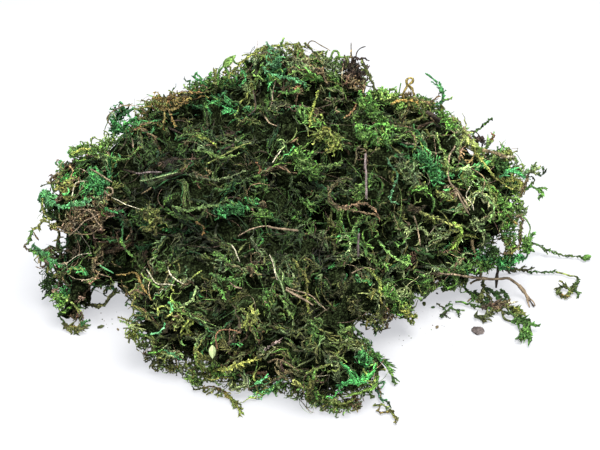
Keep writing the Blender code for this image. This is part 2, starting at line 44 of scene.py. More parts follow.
# The camera stands where the photograph was taken from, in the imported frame
camera = {
    "place": (-8.8, -613.4, 392.5),
    "pitch": 30.0,          # degrees below level
    "lens": 85.0,
    "sensor": 36.0,
    "imageSize": (600, 450),
}
eye = np.array(camera["place"])
tilt = math.radians(camera["pitch"])
focal = camera["lens"] / camera["sensor"] * camera["imageSize"][0]      # in pixels
middleU, middleV = camera["imageSize"][0] / 2, camera["imageSize"][1] / 2

# Routes below are in the lengths of part.py; packing moved the heap by this
heapShift = np.array([-4.83, 5.81, 0.0])

# Natural and dyed colours of the strands, as linear red, green and blue
dyes = {
    "mint": (0.066, 0.210, 0.088),
    "blueGreen": (0.044, 0.186, 0.055),
    "brightGreen": (0.096, 0.232, 0.048),
    "midGreen": (0.068, 0.154, 0.030),
    "leafGreen": (0.112, 0.202, 0.050),
    "deepGreen": (0.029, 0.067, 0.016),
    "greyGreen": (0.130, 0.186, 0.082),
    "olive": (0.124, 0.152, 0.042),
    "darkOlive": (0.051, 0.064, 0.018),
    "yellowGreen": (0.162, 0.212, 0.048),
    "ochre": (0.198, 0.154, 0.047),
    "brown": (0.118, 0.090, 0.049),
    "rust": (0.178, 0.090, 0.048),
    "darkBrown": (0.033, 0.024, 0.017),
    "tan": (0.182, 0.138, 0.096),
    "straw": (0.370, 0.345, 0.265),
    "mauve": (0.128, 0.100, 0.105),
    "paleLeaf": (0.235, 0.290, 0.150),
    "bark": (0.078, 0.064, 0.066),
}
lightest = 0.85             # no strand is lighter

# Each tuft's piece: the node that it stands for, its slot, the way its strands tend to run and how
# often each dye turns up in it
tufts = {
    "crownMoss": {
        "node": "moss_tuft_crown", "slot": "moss_deep_green", "run": (1.0, 0.1, -0.35),
        "dyes": {"midGreen": 3, "leafGreen": 2, "olive": 3, "greyGreen": 2, "deepGreen": 2, "brown": 1.4,
                 "blueGreen": 1}},
    "shoulderMoss": {
        "node": "moss_tuft_shoulder", "slot": "moss_deep_green", "run": (0.8, 0.0, 0.5),
        "dyes": {"midGreen": 3, "leafGreen": 2, "deepGreen": 2, "blueGreen": 1.4, "olive": 2.4, "brown": 1,
                 "ochre": 0.6, "brightGreen": 0.6}},
    "leftMoss": {
        "node": "moss_tuft_left", "slot": "moss_blue_green", "run": (0.5, 0.0, 0.9),
        "dyes": {"midGreen": 2.4, "blueGreen": 1.6, "brown": 2.4, "greyGreen": 2, "olive": 2,
                 "deepGreen": 2, "tan": 0.5}},
    "middleMoss": {
        "node": "moss_tuft_middle", "slot": "moss_deep_green", "run": (1.0, 0.0, 0.25),
        "dyes": {"midGreen": 3, "leafGreen": 1.6, "deepGreen": 3, "greyGreen": 1.5, "olive": 2,
                 "blueGreen": 1, "brown": 1}},
    "centreMoss": {
        "node": "moss_tuft_centre", "slot": "moss_deep_green", "run": (0.15, 0.0, 1.0),
        "dyes": {"midGreen": 3, "leafGreen": 2.4, "deepGreen": 2.4, "olive": 2.6, "greyGreen": 1.5,
                 "brightGreen": 0.8, "brown": 1, "yellowGreen": 0.4}},
    "rightMoss": {
        "node": "moss_tuft_right", "slot": "moss_olive", "run": (0.7, 0.0, -0.8),
        "dyes": {"olive": 2.6, "leafGreen": 3, "greyGreen": 3.4, "midGreen": 2, "yellowGreen": 0.5,
                 "brown": 0.9, "blueGreen": 0.8, "deepGreen": 1}},
    "upperRightMoss": {
        "node": "moss_tuft_upper_right", "slot": "moss_olive", "run": (0.8, 0.0, -0.6),
        "dyes": {"olive": 2.6, "leafGreen": 1.4, "midGreen": 2, "greyGreen": 3, "brown": 1.8, "darkOlive": 2,
                 "blueGreen": 0.8}},
    "frontMoss": {
        "node": "moss_tuft_front", "slot": "moss_olive", "run": (0.8, 0.0, -0.2),
        "dyes": {"olive": 4, "leafGreen": 2.4, "darkOlive": 2.4, "greyGreen": 2, "midGreen": 2,
                 "brown": 1.2, "blueGreen": 0.5, "yellowGreen": 0.5}},
    "backLeftMoss": {
        "node": "moss_tuft_back_left", "slot": "moss_deep_green", "run": (0.9, 0.0, 0.4),
        "dyes": {"midGreen": 3, "deepGreen": 3, "olive": 2, "blueGreen": 1, "brown": 1, "greyGreen": 1.6}},
    "backRightMoss": {
        "node": "moss_tuft_back_right", "slot": "moss_olive", "run": (0.8, 0.0, -0.5),
        "dyes": {"olive": 3, "midGreen": 3, "deepGreen": 2, "greyGreen": 2, "brown": 1, "yellowGreen": 0.4}},
}

# The kinds of strand: the stem's radius, how far its leaflets stand out and reach ahead, or how
# uneven it is
strandKinds = {
    "leafy": {"core": 0.38, "out": 0.74, "ahead": 1.05},
    "slim": {"core": 0.26, "out": 0.46, "ahead": 0.90},
    "knotty": {"core": 0.50, "knots": 0.75},
    "cord": {"core": 0.40, "out": 0.80, "ahead": 0.60, "knots": 0.5},
    "wiry": {"core": 0.30},
    "hair": {"core": 0.13},
}
leafletLook = {"size": (0.2, 1.45), "light": (0.92, 1.32), "stemShade": 0.62}

# Least heights over the floor, in millimetres
leastHeight = {"skin": 0.3, "mat": 0.5, "strand": 0.7, "givenWay": 0.6, "piece": 0.05}


# Arrays of vectors

def unit(vectors):
    return vectors / np.maximum(np.linalg.norm(vectors, axis=-1, keepdims=True), 1e-9)


def dot(first, second):
    return (first * second).sum(-1, keepdims=True)


def mixed(first, second, share):
    return first + (second - first) * share


def softNoise(places, width, shift=0.0):
    offset = Vector((shift * 3.7, shift * -5.1, shift * 2.3))
    flat = np.asarray(places).reshape(-1, 3) / width
    values = np.array([noise.noise(Vector(place) + offset) for place in flat])
    return values.reshape(np.shape(places)[:-1])


def smoothStep(values, low, high):
    share = np.clip((values - low) / (high - low), 0, 1)
    return share * share * (3 - 2 * share)


def curveThrough(knots, spacing):
    # points about spacing apart on a smooth curve through the knots
    knots = np.asarray(knots, float)
    padded = np.vstack([2 * knots[0] - knots[1], knots, 2 * knots[-1] - knots[-2]])
    points = [knots[0]]
    for a, b, c, d in zip(padded, padded[1:], padded[2:], padded[3:]):
        steps = max(1, round(np.linalg.norm(c - b) / spacing))
        for step in range(1, steps + 1):
            t = step / steps
            points.append(0.5 * (2 * b + (c - a) * t + (2 * a - 5 * b + 4 * c - d) * t ** 2
                                 + (3 * b - a - 3 * c + d) * t ** 3))
    return np.array(points)


def lengthOf(points):
    return np.linalg.norm(np.diff(points, axis=0), axis=1).sum()


def along(paths, shares):
    # points at shares (0 to 1) of the length of each path
    last = paths.shape[1] - 1
    spots = np.clip(shares, 0, 1) * last
    low = np.minimum(spots.astype(int), last - 1)
    rows = np.arange(len(paths)).reshape(-1, *[1] * (spots.ndim - 1))
    share = (spots - low)[..., None]
    return paths[rows, low] * (1 - share) + paths[rows, low + 1] * share


def placesOf(line):
    # a line of places is written u,v u,v and so on, or u,v,height, in pixels and millimetres
    return [tuple(float(number) for number in place.split(",")) for place in line.split()]


def pixelRay(u, v):
    ahead = np.array([0, math.cos(tilt), -math.sin(tilt)])
    up = np.array([0, math.sin(tilt), math.cos(tilt)])
    return eye, unit(ahead + up * (middleV - v) / focal + np.array([1, 0, 0]) * (u - middleU) / focal)


def pixelOf(places):
    offset = places - eye
    ahead = offset[..., 1] * math.cos(tilt) - offset[..., 2] * math.sin(tilt)
    rise = offset[..., 1] * math.sin(tilt) + offset[..., 2] * math.cos(tilt)
    return middleU + offset[..., 0] / ahead * focal, middleV - rise / ahead * focal


def onSheet(u, v, depth):
    # where the line of sight through a pixel meets an upright sheet at that depth
    origin, way = pixelRay(u, v)
    return origin + way * (depth - origin[1]) / way[1]


def onFloor(u, v, height=0.0):
    origin, way = pixelRay(u, v)
    return origin + way * (height - origin[2]) / way[2]


towardsEye = -pixelRay(middleU, middleV)[1]


# Meshes and objects

def meshFrom(build, name):
    mesh = bpy.data.meshes.new(name)
    build.to_mesh(mesh)
    build.free()
    return mesh


def inScene(name, data):
    holder = bpy.data.objects.new(name, data)
    bpy.context.scene.collection.objects.link(holder)
    return holder


# Open floor between the lumps: its upper edge in pixels, from left to right, and its lower edge back
notches = [
    [(86, 290), (100, 292), (106, 295), (112, 294), (118, 290), (125, 294), (125, 345), (86, 345)],
    [(353, 319), (360, 317), (370, 318), (378, 326), (384, 320), (396, 319), (406, 321), (413, 315),
     (418, 306), (425, 297), (434, 294), (448, 293), (462, 291), (476, 290), (492, 285), (492, 372),
     (372, 352), (366, 342), (360, 336), (353, 331)],
]
wedgeHeights = (135, -4)    # over the heap and under the floor
notchMargin = 3.0           # strands may hang this many pixels into a notch


def sightWedge(notch):
    # what lies in front of a notch as seen from the camera
    build = bmesh.new()
    rings = [[build.verts.new(onFloor(*pixel, height) * mm) for pixel in notch] for height in wedgeHeights]
    build.faces.new(rings[0])
    build.faces.new(rings[1][::-1])
    for index in range(len(notch)):
        after = (index + 1) % len(notch)
        build.faces.new((rings[0][index], rings[1][index], rings[1][after], rings[0][after]))
    bmesh.ops.recalc_face_normals(build, faces=build.faces)
    return bpy.data.objects.new("wedge", meshFrom(build, "wedge"))


wedges = [sightWedge(notch) for notch in notches]


def cutNotches(holder):
    for wedge in wedges:
        cut = holder.modifiers.new("notch", "BOOLEAN")
        cut.operation = "DIFFERENCE"
        cut.solver = "EXACT"
        cut.object = wedge


def inNotch(places):
    # how many of each strand's places lie well inside a notch as seen from the camera
    u, v = pixelOf(places)
    v = v - notchMargin
    found = np.zeros(u.shape, bool)
    for notch in notches:
        inside = np.zeros(u.shape, bool)
        for (u1, v1), (u2, v2) in zip(notch, notch[1:] + notch[:1]):
            crosses = (v1 > v) != (v2 > v)
            inside ^= crosses & (u < (u2 - u1) * (v - v1) / (v2 - v1 + 1e-9) + u1)
        found |= inside
    return found.sum(-1)


# The skin: the ten tufts as one surface, for strands to lie on

skinLook = {
    "swell": 0.6,           # so that tufts that press together fuse
    "voxel": 2.4,
    "softening": 6,         # rounds
    "thinnest": 6.0,        # thinner parts are wisps, and grow apart
    "into": 0.3,            # where measuring starts, under the surface
}


def weldedNode(name):
    build = bmesh.new()
    build.from_mesh(nodes[name].data)
    bmesh.ops.remove_doubles(build, verts=build.verts, dist=1e-6)
    build.normal_update()
    return build


def modified(mesh, addModifiers):
    # the mesh after the modifiers that addModifiers puts on it
    holder = inScene("holder", mesh)
    addModifiers(holder)
    result = bpy.data.meshes.new_from_object(holder.evaluated_get(bpy.context.evaluated_depsgraph_get()))
    bpy.data.objects.remove(holder)
    bpy.data.meshes.remove(mesh)
    return result


def meshArrays(mesh):
    # vertex places in millimetres and triangles
    mesh.calc_loop_triangles()
    places = np.empty(len(mesh.vertices) * 3, np.float32)
    mesh.vertices.foreach_get("co", places)
    triangles = np.empty(len(mesh.loop_triangles) * 3, np.int32)
    mesh.loop_triangles.foreach_get("vertices", triangles)
    return places.reshape(-1, 3).astype(float) / mm, triangles.reshape(-1, 3)


def surfaceFrom(points, triangles):
    first = points[triangles[:, 1]] - points[triangles[:, 0]]
    second = points[triangles[:, 2]] - points[triangles[:, 0]]
    cross = np.cross(first, second)
    normals = np.zeros_like(points)
    for corner in range(3):
        np.add.at(normals, triangles[:, corner], cross)
    return {"points": points, "triangles": triangles, "first": first, "second": second, "cross": cross,
            "normals": unit(normals), "tree": BVHTree.FromPolygons(points.tolist(), triangles.tolist())}


def makeSkin():
    whole = bmesh.new()
    for tuft in tufts.values():
        part = weldedNode(tuft["node"])
        for corner in part.verts:
            corner.co += corner.normal * skinLook["swell"] * mm
        mesh = meshFrom(part, "part")
        whole.from_mesh(mesh)
        bpy.data.meshes.remove(mesh)
    mesh = meshFrom(whole, "skin")

    def fuseAndSoften(holder):
        fuse = holder.modifiers.new("fuse", "REMESH")
        fuse.mode = "VOXEL"
        fuse.voxel_size = skinLook["voxel"] * mm
        soften = holder.modifiers.new("soften", "SMOOTH")
        soften.iterations = skinLook["softening"]
        cutNotches(holder)

    whole = surfaceFrom(*meshArrays(modified(mesh, fuseAndSoften)))

    def isThin(place, up):
        start = place - up * skinLook["into"]
        return whole["tree"].ray_cast(start.tolist(), (-up).tolist(), skinLook["thinnest"])[0] is not None

    thin = np.array([isThin(place, up) for place, up in zip(whole["points"], whole["normals"])])
    kept = ~thin[whole["triangles"]].any(1)
    print("skin:", len(kept), "triangles,", len(kept) - kept.sum(), "of them on wisps")
    return surfaceFrom(whole["points"], whole["triangles"][kept])


smoothSkin = makeSkin()


def barycentric(surface, places, faces):
    offset = places - surface["points"][surface["triangles"][faces, 0]]
    first, second = surface["first"][faces], surface["second"][faces]
    a, b, c = (first * first).sum(-1), (first * second).sum(-1), (second * second).sum(-1)
    d, e = (offset * first).sum(-1), (offset * second).sum(-1)
    whole = np.maximum(a * c - b * b, 1e-9)
    v, w = (c * d - b * e) / whole, (a * e - b * d) / whole
    return np.stack([1 - v - w, v, w], -1)


def nearestOn(surface, places):
    # the surface's nearest places and its smooth normals there
    found = [surface["tree"].find_nearest(place) for place in np.asarray(places).reshape(-1, 3).tolist()]
    spots = np.array([hit[0][:] for hit in found])
    faces = np.array([hit[2] for hit in found])
    shares = barycentric(surface, spots, faces)
    normals = unit((surface["normals"][surface["triangles"][faces]] * shares[..., None]).sum(1))
    return spots.reshape(np.shape(places)), normals.reshape(np.shape(places))


heapRange = (500, 900)      # from the camera, in millimetres


def onHeap(u, v, lift=0.0):
    # where the line of sight through a pixel meets the skin, or passes nearest to it
    origin, way = pixelRay(u, v)
    place = smoothSkin["tree"].ray_cast(origin.tolist(), way.tolist())[0]
    if place is None:
        steps = origin + way * np.linspace(*heapRange, 200)[:, None]
        spots, _ = nearestOn(smoothSkin, steps)
        return steps[np.linalg.norm(spots - steps, axis=1).argmin()]
    return np.array(place) - way * lift


def makeOwners():
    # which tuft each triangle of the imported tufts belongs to
    points, triangles, owners, start = [], [], [], 0
    for index, tuft in enumerate(tufts.values()):
        places, faces = meshArrays(nodes[tuft["node"]].data)
        points.append(places)
        triangles.append(faces + start)
        owners.append(np.full(len(faces), index))
        start += len(places)
    tree = BVHTree.FromPolygons(np.vstack(points).tolist(), np.vstack(triangles).tolist())
    return tree, np.concatenate(owners)


ownerTree, ownerOfTriangle = makeOwners()


def ownersOf(places):
    return np.array([ownerOfTriangle[ownerTree.find_nearest(place)[2]] for place in places.tolist()])


# Hollows: dark gaps between the bundles. Seen ones are lines of pixels with a radius and a depth; the
# noise gives the others, broad and fine, where it lies in the range
hollows = {
    "broad": {"width": 19.0, "depth": 6.5, "range": (0.0, 0.5)},
    "fine": {"width": 6.5, "depth": 2.6, "range": (-0.1, 0.5)},
    "lines": [
        ((133, 168), (138, 205), 7, 9), ((138, 240), (122, 266), 9, 12), ((165, 230), (215, 232), 7, 10),
        ((183, 108), (232, 120), 7, 10), ((236, 160), (252, 178), 5, 8), ((330, 118), (350, 122), 6, 9),
        ((386, 195), (398, 270), 7, 11), ((404, 112), (430, 126), 6, 9), ((203, 288), (214, 312), 5, 8),
        ((340, 288), (362, 318), 7, 9), ((282, 338), (296, 354), 5, 8), ((300, 195), (326, 188), 5, 7),
        ((160, 185), (150, 200), 6, 8), ((255, 120), (288, 124), 5, 7), ((320, 232), (332, 258), 5, 8),
        ((98, 236), (126, 280), 7, 9), ((345, 150), (352, 168), 4, 6), ((410, 215), (430, 225), 5, 7),
        ((336, 86), (350, 98), 8, 9), ((430, 300), (470, 300), 6, 5), ((128, 262), (134, 284), 6, 7),
    ],
}


def hollowPoints():
    points, sizes, depths = [], [], []
    for start, end, size, depth in hollows["lines"]:
        for share in np.linspace(0, 1, 5):
            points.append(onHeap(*mixed(np.array(start), np.array(end), share)))
            sizes.append(size)
            depths.append(depth)
    return np.array(points), np.array(sizes, float), np.array(depths, float)


hollowPlaces, hollowSizes, hollowDepths = hollowPoints()


def hollowDepth(places):
    # how far the moss falls back, from nothing where it is full
    flat = places.reshape(-1, 3)
    seen = np.zeros(len(flat))
    for place, size, depth in zip(hollowPlaces, hollowSizes, hollowDepths):
        seen = np.maximum(seen, depth * np.exp(-((flat - place) ** 2).sum(1) / size ** 2))
    broad, fine = hollows["broad"], hollows["fine"]
    swell = softNoise(flat, broad["width"], 3) + 0.5 * softNoise(flat, broad["width"] / 2, 4)
    loose = broad["depth"] * smoothStep(swell, *broad["range"])
    small = fine["depth"] * smoothStep(softNoise(flat, fine["width"], 5), *fine["range"])
    return (np.maximum(seen, loose) + small).reshape(places.shape[:-1])


def pressedSkin():
    points = smoothSkin["points"] - smoothSkin["normals"] * hollowDepth(smoothSkin["points"])[:, None]
    points[:, 2] = np.maximum(points[:, 2], leastHeight["skin"])
    return surfaceFrom(points, smoothSkin["triangles"])


skin = pressedSkin()
skinDepths = hollowDepth(smoothSkin["points"])
print("hollows pressed in")


# Meshes of strands

def newTangle():
    return {"points": [], "faces": [], "colours": [], "smooth": [], "inside": [], "count": 0}


def addToTangle(tangle, points, faces, colours, smooth, inside=False):
    tangle["points"].append(points.reshape(-1, 3))
    tangle["faces"].append(faces.reshape(-1, 3) + tangle["count"])
    tangle["colours"].append(colours.reshape(-1, 3))
    tangle["smooth"].append(np.full(faces.size // 3, smooth))
    tangle["inside"].append(np.full(faces.size // 3, inside, np.int32))
    tangle["count"] += points.size // 3


def sideDirections(paths, dice):
    # the way along each path, and two directions square to it that turn as little as possible
    ways = unit(np.gradient(paths, axis=1))
    side = unit(np.cross(ways[:, 0], dice.normal(size=(len(paths), 3))))
    sides = [side]
    for index in range(1, paths.shape[1]):
        side = unit(side - dot(side, ways[:, index]) * ways[:, index])
        sides.append(side)
    sides = np.stack(sides, 1)
    return ways, sides, np.cross(ways, sides)


def strandFaces(rings, corners, leaflets):
    faces = []
    for ring in range(rings - 1):
        for corner in range(corners):
            a = ring * corners + corner
            b = ring * corners + (corner + 1) % corners
            c, d = b + corners, a + corners
            if leaflets and (ring + corner) % 2 == 0:
                tip = rings * corners + a
                faces += [(a, b, tip), (b, c, tip), (c, d, tip), (d, a, tip)]
            else:
                faces += [(a, b, c), (a, c, d)]
    last = (rings - 1) * corners
    for corner in range(1, corners - 1):
        faces.append((0, corner + 1, corner))
        faces.append((last, last + corner, last + corner + 1))
    return np.array(faces)


def addStrands(tangle, paths, radii, colours, dice, leaf=None, knots=0.0, corners=3, twist=0.55):
    # closed strands along paths. A leaf's "out" and "ahead" draw each side out into a leaflet
    if len(paths) == 0:
        return
    count, rings = paths.shape[:2]
    ways, sides, ups = sideDirections(paths, dice)
    angles = np.arange(corners) * math.tau / corners + (np.arange(rings) * twist)[:, None]
    around = sides[:, :, None] * np.cos(angles)[..., None] + ups[:, :, None] * np.sin(angles)[..., None]
    bulge = 1 + knots * dice.uniform(-1, 1, (count, rings, corners, 1))
    points = paths[:, :, None] + around * radii[:, :, None, None] * bulge
    points = points + ways[:, :, None] * (bulge - 1) * radii[:, :, None, None] * 0.9
    # painted shade: corners of a knob that bulge out are lighter and dips darker, then a random tone
    shades = colours[:, :, None] * (0.55 + 0.5 * bulge) if knots else np.repeat(
        colours[:, :, None], corners, axis=2)
    shades = shades * dice.uniform(0.8, 1.2, (count, rings, corners, 1))
    if leaf:
        following = np.roll(points, -1, axis=2)
        middles = (points[:, :-1] + following[:, :-1] + points[:, 1:] + following[:, 1:]) / 4
        outward = unit(middles - (paths[:, :-1, None] + paths[:, 1:, None]) / 2)
        size = dice.uniform(*leafletLook["size"], middles.shape[:3])[..., None]
        size = size * leaf["size"][:, None, None, None]
        tips = middles + (outward * leaf["out"] + ways[:, :-1, None] * leaf["ahead"]) * size
        # painted shade and highlight: the stem is darkened under its leaflets and the leaflet tips are
        # lighter, by a random amount
        light = dice.uniform(*leafletLook["light"], middles.shape[:3])[..., None]
        points = np.concatenate([points.reshape(count, -1, 3), tips.reshape(count, -1, 3)], 1)
        shades = np.concatenate([(shades * leafletLook["stemShade"]).reshape(count, -1, 3),
                                 (shades[:, :-1] * light).reshape(count, -1, 3)], 1)
    pattern = strandFaces(rings, corners, bool(leaf))
    perStrand = points.size // 3 // count
    faces = pattern[None] + (np.arange(count) * perStrand)[:, None, None]
    addToTangle(tangle, points, faces, np.minimum(shades, lightest), not leaf)


def makePiece(name, tangle, replaced, material):
    points = np.vstack(tangle["points"])
    points[:, 2] = np.maximum(points[:, 2], leastHeight["piece"])
    faces = np.vstack(tangle["faces"]).astype(np.int32)
    colours = np.vstack(tangle["colours"])
    used, faces = np.unique(faces, return_inverse=True)
    points, colours, faces = points[used], colours[used], faces.reshape(-1, 3).astype(np.int32)
    mesh = bpy.data.meshes.new(name)
    mesh.vertices.add(len(points))
    mesh.vertices.foreach_set("co", (points * mm).astype(np.float32).ravel())
    mesh.loops.add(faces.size)
    mesh.loops.foreach_set("vertex_index", faces.ravel())
    mesh.polygons.add(len(faces))
    mesh.polygons.foreach_set("loop_start", np.arange(0, faces.size, 3, dtype=np.int32))
    mesh.polygons.foreach_set("use_smooth", np.concatenate(tangle["smooth"]))
    mesh.materials.append(material)
    if any(part.any() for part in tangle["inside"]):
        mesh.materials.append(shadeMatMaterial)
        mesh.polygons.foreach_set("material_index", np.concatenate(tangle["inside"]))
    mesh.update(calc_edges=True)
    dye = mesh.color_attributes.new("strandDye", "FLOAT_COLOR", "POINT")
    dye.data.foreach_set("color", np.hstack([colours, np.ones((len(colours), 1))]).astype(np.float32).ravel())
    piece = inScene(name, mesh)
    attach(piece, "root")
    if replaced:
        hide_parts(*replaced)
    print(name, len(faces), "triangles")


# Materials: the strand's own dye, mottled, with painted shade at the edges of tiny leaf cells and painted
# highlights at their middles, and a dry uneven surface

def ranged(tree, value, low, high, toLow, toHigh):
    made = tree.nodes.new("ShaderNodeMapRange")
    for name, limit in (("From Min", low), ("From Max", high), ("To Min", toLow), ("To Max", toHigh)):
        made.inputs[name].default_value = limit
    tree.links.new(value, made.inputs["Value"])
    return made.outputs["Result"]


def multiplied(tree, first, second):
    made = tree.nodes.new("ShaderNodeMix")
    made.data_type = "RGBA"
    made.blend_type = "MULTIPLY"
    made.inputs["Factor"].default_value = 1.0
    tree.links.new(first, made.inputs["A"])
    tree.links.new(second, made.inputs["B"])
    return made.outputs["Result"]


def mossMaterial(name, mottle=0.4, leafShade=(1.7, 0.3), each=(0.66, 1.4), roughness=(0.6, 0.95), bump=0.6,
                 grain=1350.0, specular=0.26):
    made = bpy.data.materials.new(name)
    made.use_nodes = True
    tree = made.node_tree
    link = tree.links.new
    shader = tree.nodes["Principled BSDF"]
    shader.inputs["Specular IOR Level"].default_value = specular
    dye = tree.nodes.new("ShaderNodeAttribute")
    dye.attribute_name = "strandDye"
    place = tree.nodes.new("ShaderNodeTexCoord").outputs["Object"]
    patches = tree.nodes.new("ShaderNodeTexNoise")
    patches.inputs["Scale"].default_value = grain / 6
    patches.inputs["Detail"].default_value = 3.0
    tones = tree.nodes.new("ShaderNodeValToRGB")
    low, high = 1 - mottle, 1 + mottle
    for stop, position, colour in ((0, 0.3, (low * 1.05, low, low * 0.9, 1)),
                                   (1, 0.7, (high, high, high * 0.9, 1))):
        tones.color_ramp.elements[stop].position = position
        tones.color_ramp.elements[stop].color = colour
    fineLeaves = tree.nodes.new("ShaderNodeTexVoronoi")
    fineLeaves.inputs["Scale"].default_value = grain
    ownTone = tree.nodes.new("ShaderNodeSeparateColor")
    for texture in (patches, fineLeaves):
        link(place, texture.inputs["Vector"])
    link(patches.outputs["Fac"], tones.inputs["Fac"])
    link(fineLeaves.outputs["Color"], ownTone.inputs["Color"])
    # painted shade: each tiny leaf cell is lighter in its middle and darker at its edge; the same value bumps
    # the surface
    leafDomeAndShade = ranged(tree, fineLeaves.outputs["Distance"], 0.15, 0.7, *leafShade)
    lit = ranged(tree, ownTone.outputs["Red"], 0, 1, *each)
    colour = multiplied(tree, dye.outputs["Color"], tones.outputs["Color"])
    colour = multiplied(tree, multiplied(tree, colour, leafDomeAndShade), lit)
    link(colour, shader.inputs["Base Color"])
    link(ranged(tree, ownTone.outputs["Green"], 0, 1, *roughness), shader.inputs["Roughness"])
    relief = tree.nodes.new("ShaderNodeBump")
    relief.inputs["Strength"].default_value = bump
    relief.inputs["Distance"].default_value = 0.0003
    link(leafDomeAndShade, relief.inputs["Height"])
    link(relief.outputs["Normal"], shader.inputs["Normal"])
    return made


# Matte near-black moss for the mat, a sheet of painted shade
shadeMatMaterial = mossMaterial("paintedShadeMoss", mottle=0.8, each=(0.2, 2.4), roughness=(0.95, 1.0), grain=1100.0,
                              specular=0.02)

# Where one dye is plain to see: its patches, each a pixel and a radius in millimetres
dyePatches = {
    "mint": [(47, 196, 4), (62, 206, 4), (80, 203, 3), (276, 60, 6), (292, 75, 4), (232, 210, 5),
             (350, 372, 5), (262, 382, 4)],
    "blueGreen": [(100, 178, 7), (132, 122, 9), (224, 97, 6), (424, 162, 8), (320, 172, 7), (372, 350, 7),
                  (490, 262, 7), (345, 230, 6), (145, 243, 6), (377, 275, 6), (58, 292, 6), (356, 380, 4)],
    "brightGreen": [(160, 150, 7), (205, 105, 6), (228, 278, 8), (505, 190, 7), (305, 172, 6), (478, 150, 5)],
    "yellowGreen": [(326, 140, 5), (248, 318, 4), (96, 148, 6), (150, 219, 5), (462, 228, 7), (410, 312, 5)],
    "ochre": [(195, 92, 5), (172, 106, 6), (205, 220, 4)],
    "brown": [(88, 222, 9), (200, 172, 6), (72, 182, 8), (78, 236, 6), (330, 195, 5), (355, 150, 5),
              (240, 222, 5), (285, 66, 5), (300, 72, 6), (272, 394, 5)],
    "rust": [(298, 88, 3)],
    "darkBrown": [(355, 72, 7)],
    "olive": [(450, 240, 9)],
    "midGreen": [(180, 240, 7), (292, 205, 12), (300, 250, 10), (275, 275, 8), (85, 250, 6)],
    "tan": [(455, 188, 5)],
    "greyGreen": [(452, 136, 12), (400, 122, 12), (396, 100, 8), (338, 364, 8), (432, 238, 12),
                  (392, 275, 10), (480, 215, 10)],
}
patches = [(dye, *patch) for dye, places in dyePatches.items() for patch in places]
patchPlaces = np.array([onHeap(u, v) for _, u, v, _ in patches])
patchSizes = np.array([size for _, _, _, size in patches], float)
patchDyes = np.array([dyes[dye] for dye, _, _, _ in patches])
patchStrength = 0.85        # the share of strands that take the patch's dye, at its middle

# Areas painted darker or lighter than the rest, as painted shade and painted highlights: a pixel, a radius in
# millimetres and a brightness
paintedLightAreas = [
    # broad ones, darker and lighter, partly the moss's own tone and partly painted light and shade
    (465, 190, 34, 1.18), (80, 230, 30, 1.18), (185, 195, 38, 0.80), (400, 245, 22, 1.18),
    (345, 85, 18, 1.45), (250, 75, 20, 1.12), (250, 350, 30, 1.10), (300, 332, 22, 0.78),
    # painted shade in folds
    (105, 225, 8, 0.72), (135, 152, 12, 0.6), (153, 167, 21, 0.27), (152, 185, 9, 0.75), (186, 112, 8, 0.8),
    (184, 244, 15, 0.5), (195, 192, 9, 0.85), (210, 345, 9, 0.75), (222, 282, 9, 0.82), (225, 250, 12, 0.85),
    (240, 185, 10, 0.62), (235, 305, 11, 0.65), (250, 160, 9, 0.75), (290, 345, 11, 0.72),
    (278, 102, 10, 0.7), (298, 243, 23, 0.22), (300, 88, 8, 0.85), (328, 189, 11, 0.68), (352, 186, 9, 0.75),
    (340, 90, 6, 0.8), (334, 348, 11, 0.6), (372, 172, 8, 0.85), (395, 152, 12, 0.7), (410, 165, 10, 0.75),
    (432, 225, 7, 0.85), (460, 285, 8, 0.7), (330, 125, 8, 0.74), (480, 146, 8, 0.76),
    # painted highlights on lit tops, and painted shade in the places beside them
    (60, 180, 12, 1.25), (65, 305, 12, 1.2), (66, 225, 13, 1.7), (75, 285, 16, 1.6), (84, 162, 16, 1.8),
    (120, 267, 13, 1.95), (132, 285, 16, 1.4), (145, 222, 10, 1.3), (155, 345, 14, 1.35), (162, 328, 17, 1.6),
    (165, 300, 14, 1.3), (175, 340, 10, 1.2), (385, 185, 8, 1.2), (510, 165, 8, 1.15), (238, 386, 16, 1.6),
    (210, 384, 10, 1.5), (250, 78, 12, 1.25), (269, 382, 10, 1.8), (255, 372, 12, 1.1), (300, 138, 15, 1.75),
    (305, 395, 16, 1.9), (310, 72, 10, 1.2), (359, 374, 12, 2.2), (372, 300, 12, 1.3), (385, 101, 17, 2.1),
    (361, 227, 11, 2.1), (402, 284, 17, 1.9), (420, 206, 9, 1.8), (450, 127, 11, 2.1), (458, 158, 14, 1.5),
    (465, 248, 15, 1.5), (488, 185, 16, 1.55), (450, 222, 9, 0.85), (420, 124, 8, 0.85), (505, 262, 14, 1.4),
    (512, 175, 12, 1.4), (240, 225, 9, 1.4), (145, 205, 8, 1.2), (340, 400, 14, 1.3),
]
paintedAreaPlaces = np.array([onHeap(u, v) for u, v, _, _ in paintedLightAreas])


def paintedAreaShade(places):
    shade = np.ones(len(places))
    for middle, (_, _, radius, share) in zip(paintedAreaPlaces, paintedLightAreas):
        shade *= 1 + (share - 1) * np.exp(-((places - middle) ** 2).sum(1) / radius ** 2)
    return shade


def pickDyes(places, owners, dice):
    # a dye for each strand: of the patch that it lies in, or else by its tuft's own shares
    colours = np.empty((len(places), 3))
    for index, tuft in enumerate(tufts.values()):
        mine = np.flatnonzero(owners == index)
        shares = np.array(list(tuft["dyes"].values()), float)
        names = dice.choice(len(shares), len(mine), p=shares / shares.sum())
        table = np.array([dyes[name] for name in tuft["dyes"]])
        colours[mine] = table[names]
    gaps = np.linalg.norm(places[:, None] - patchPlaces[None], axis=-1) / patchSizes
    nearest = gaps.argmin(1)
    pull = np.exp(-gaps.min(1) ** 2) * patchStrength
    taken = dice.uniform(size=len(places)) < pull
    colours[taken] = patchDyes[nearest[taken]]
    return colours


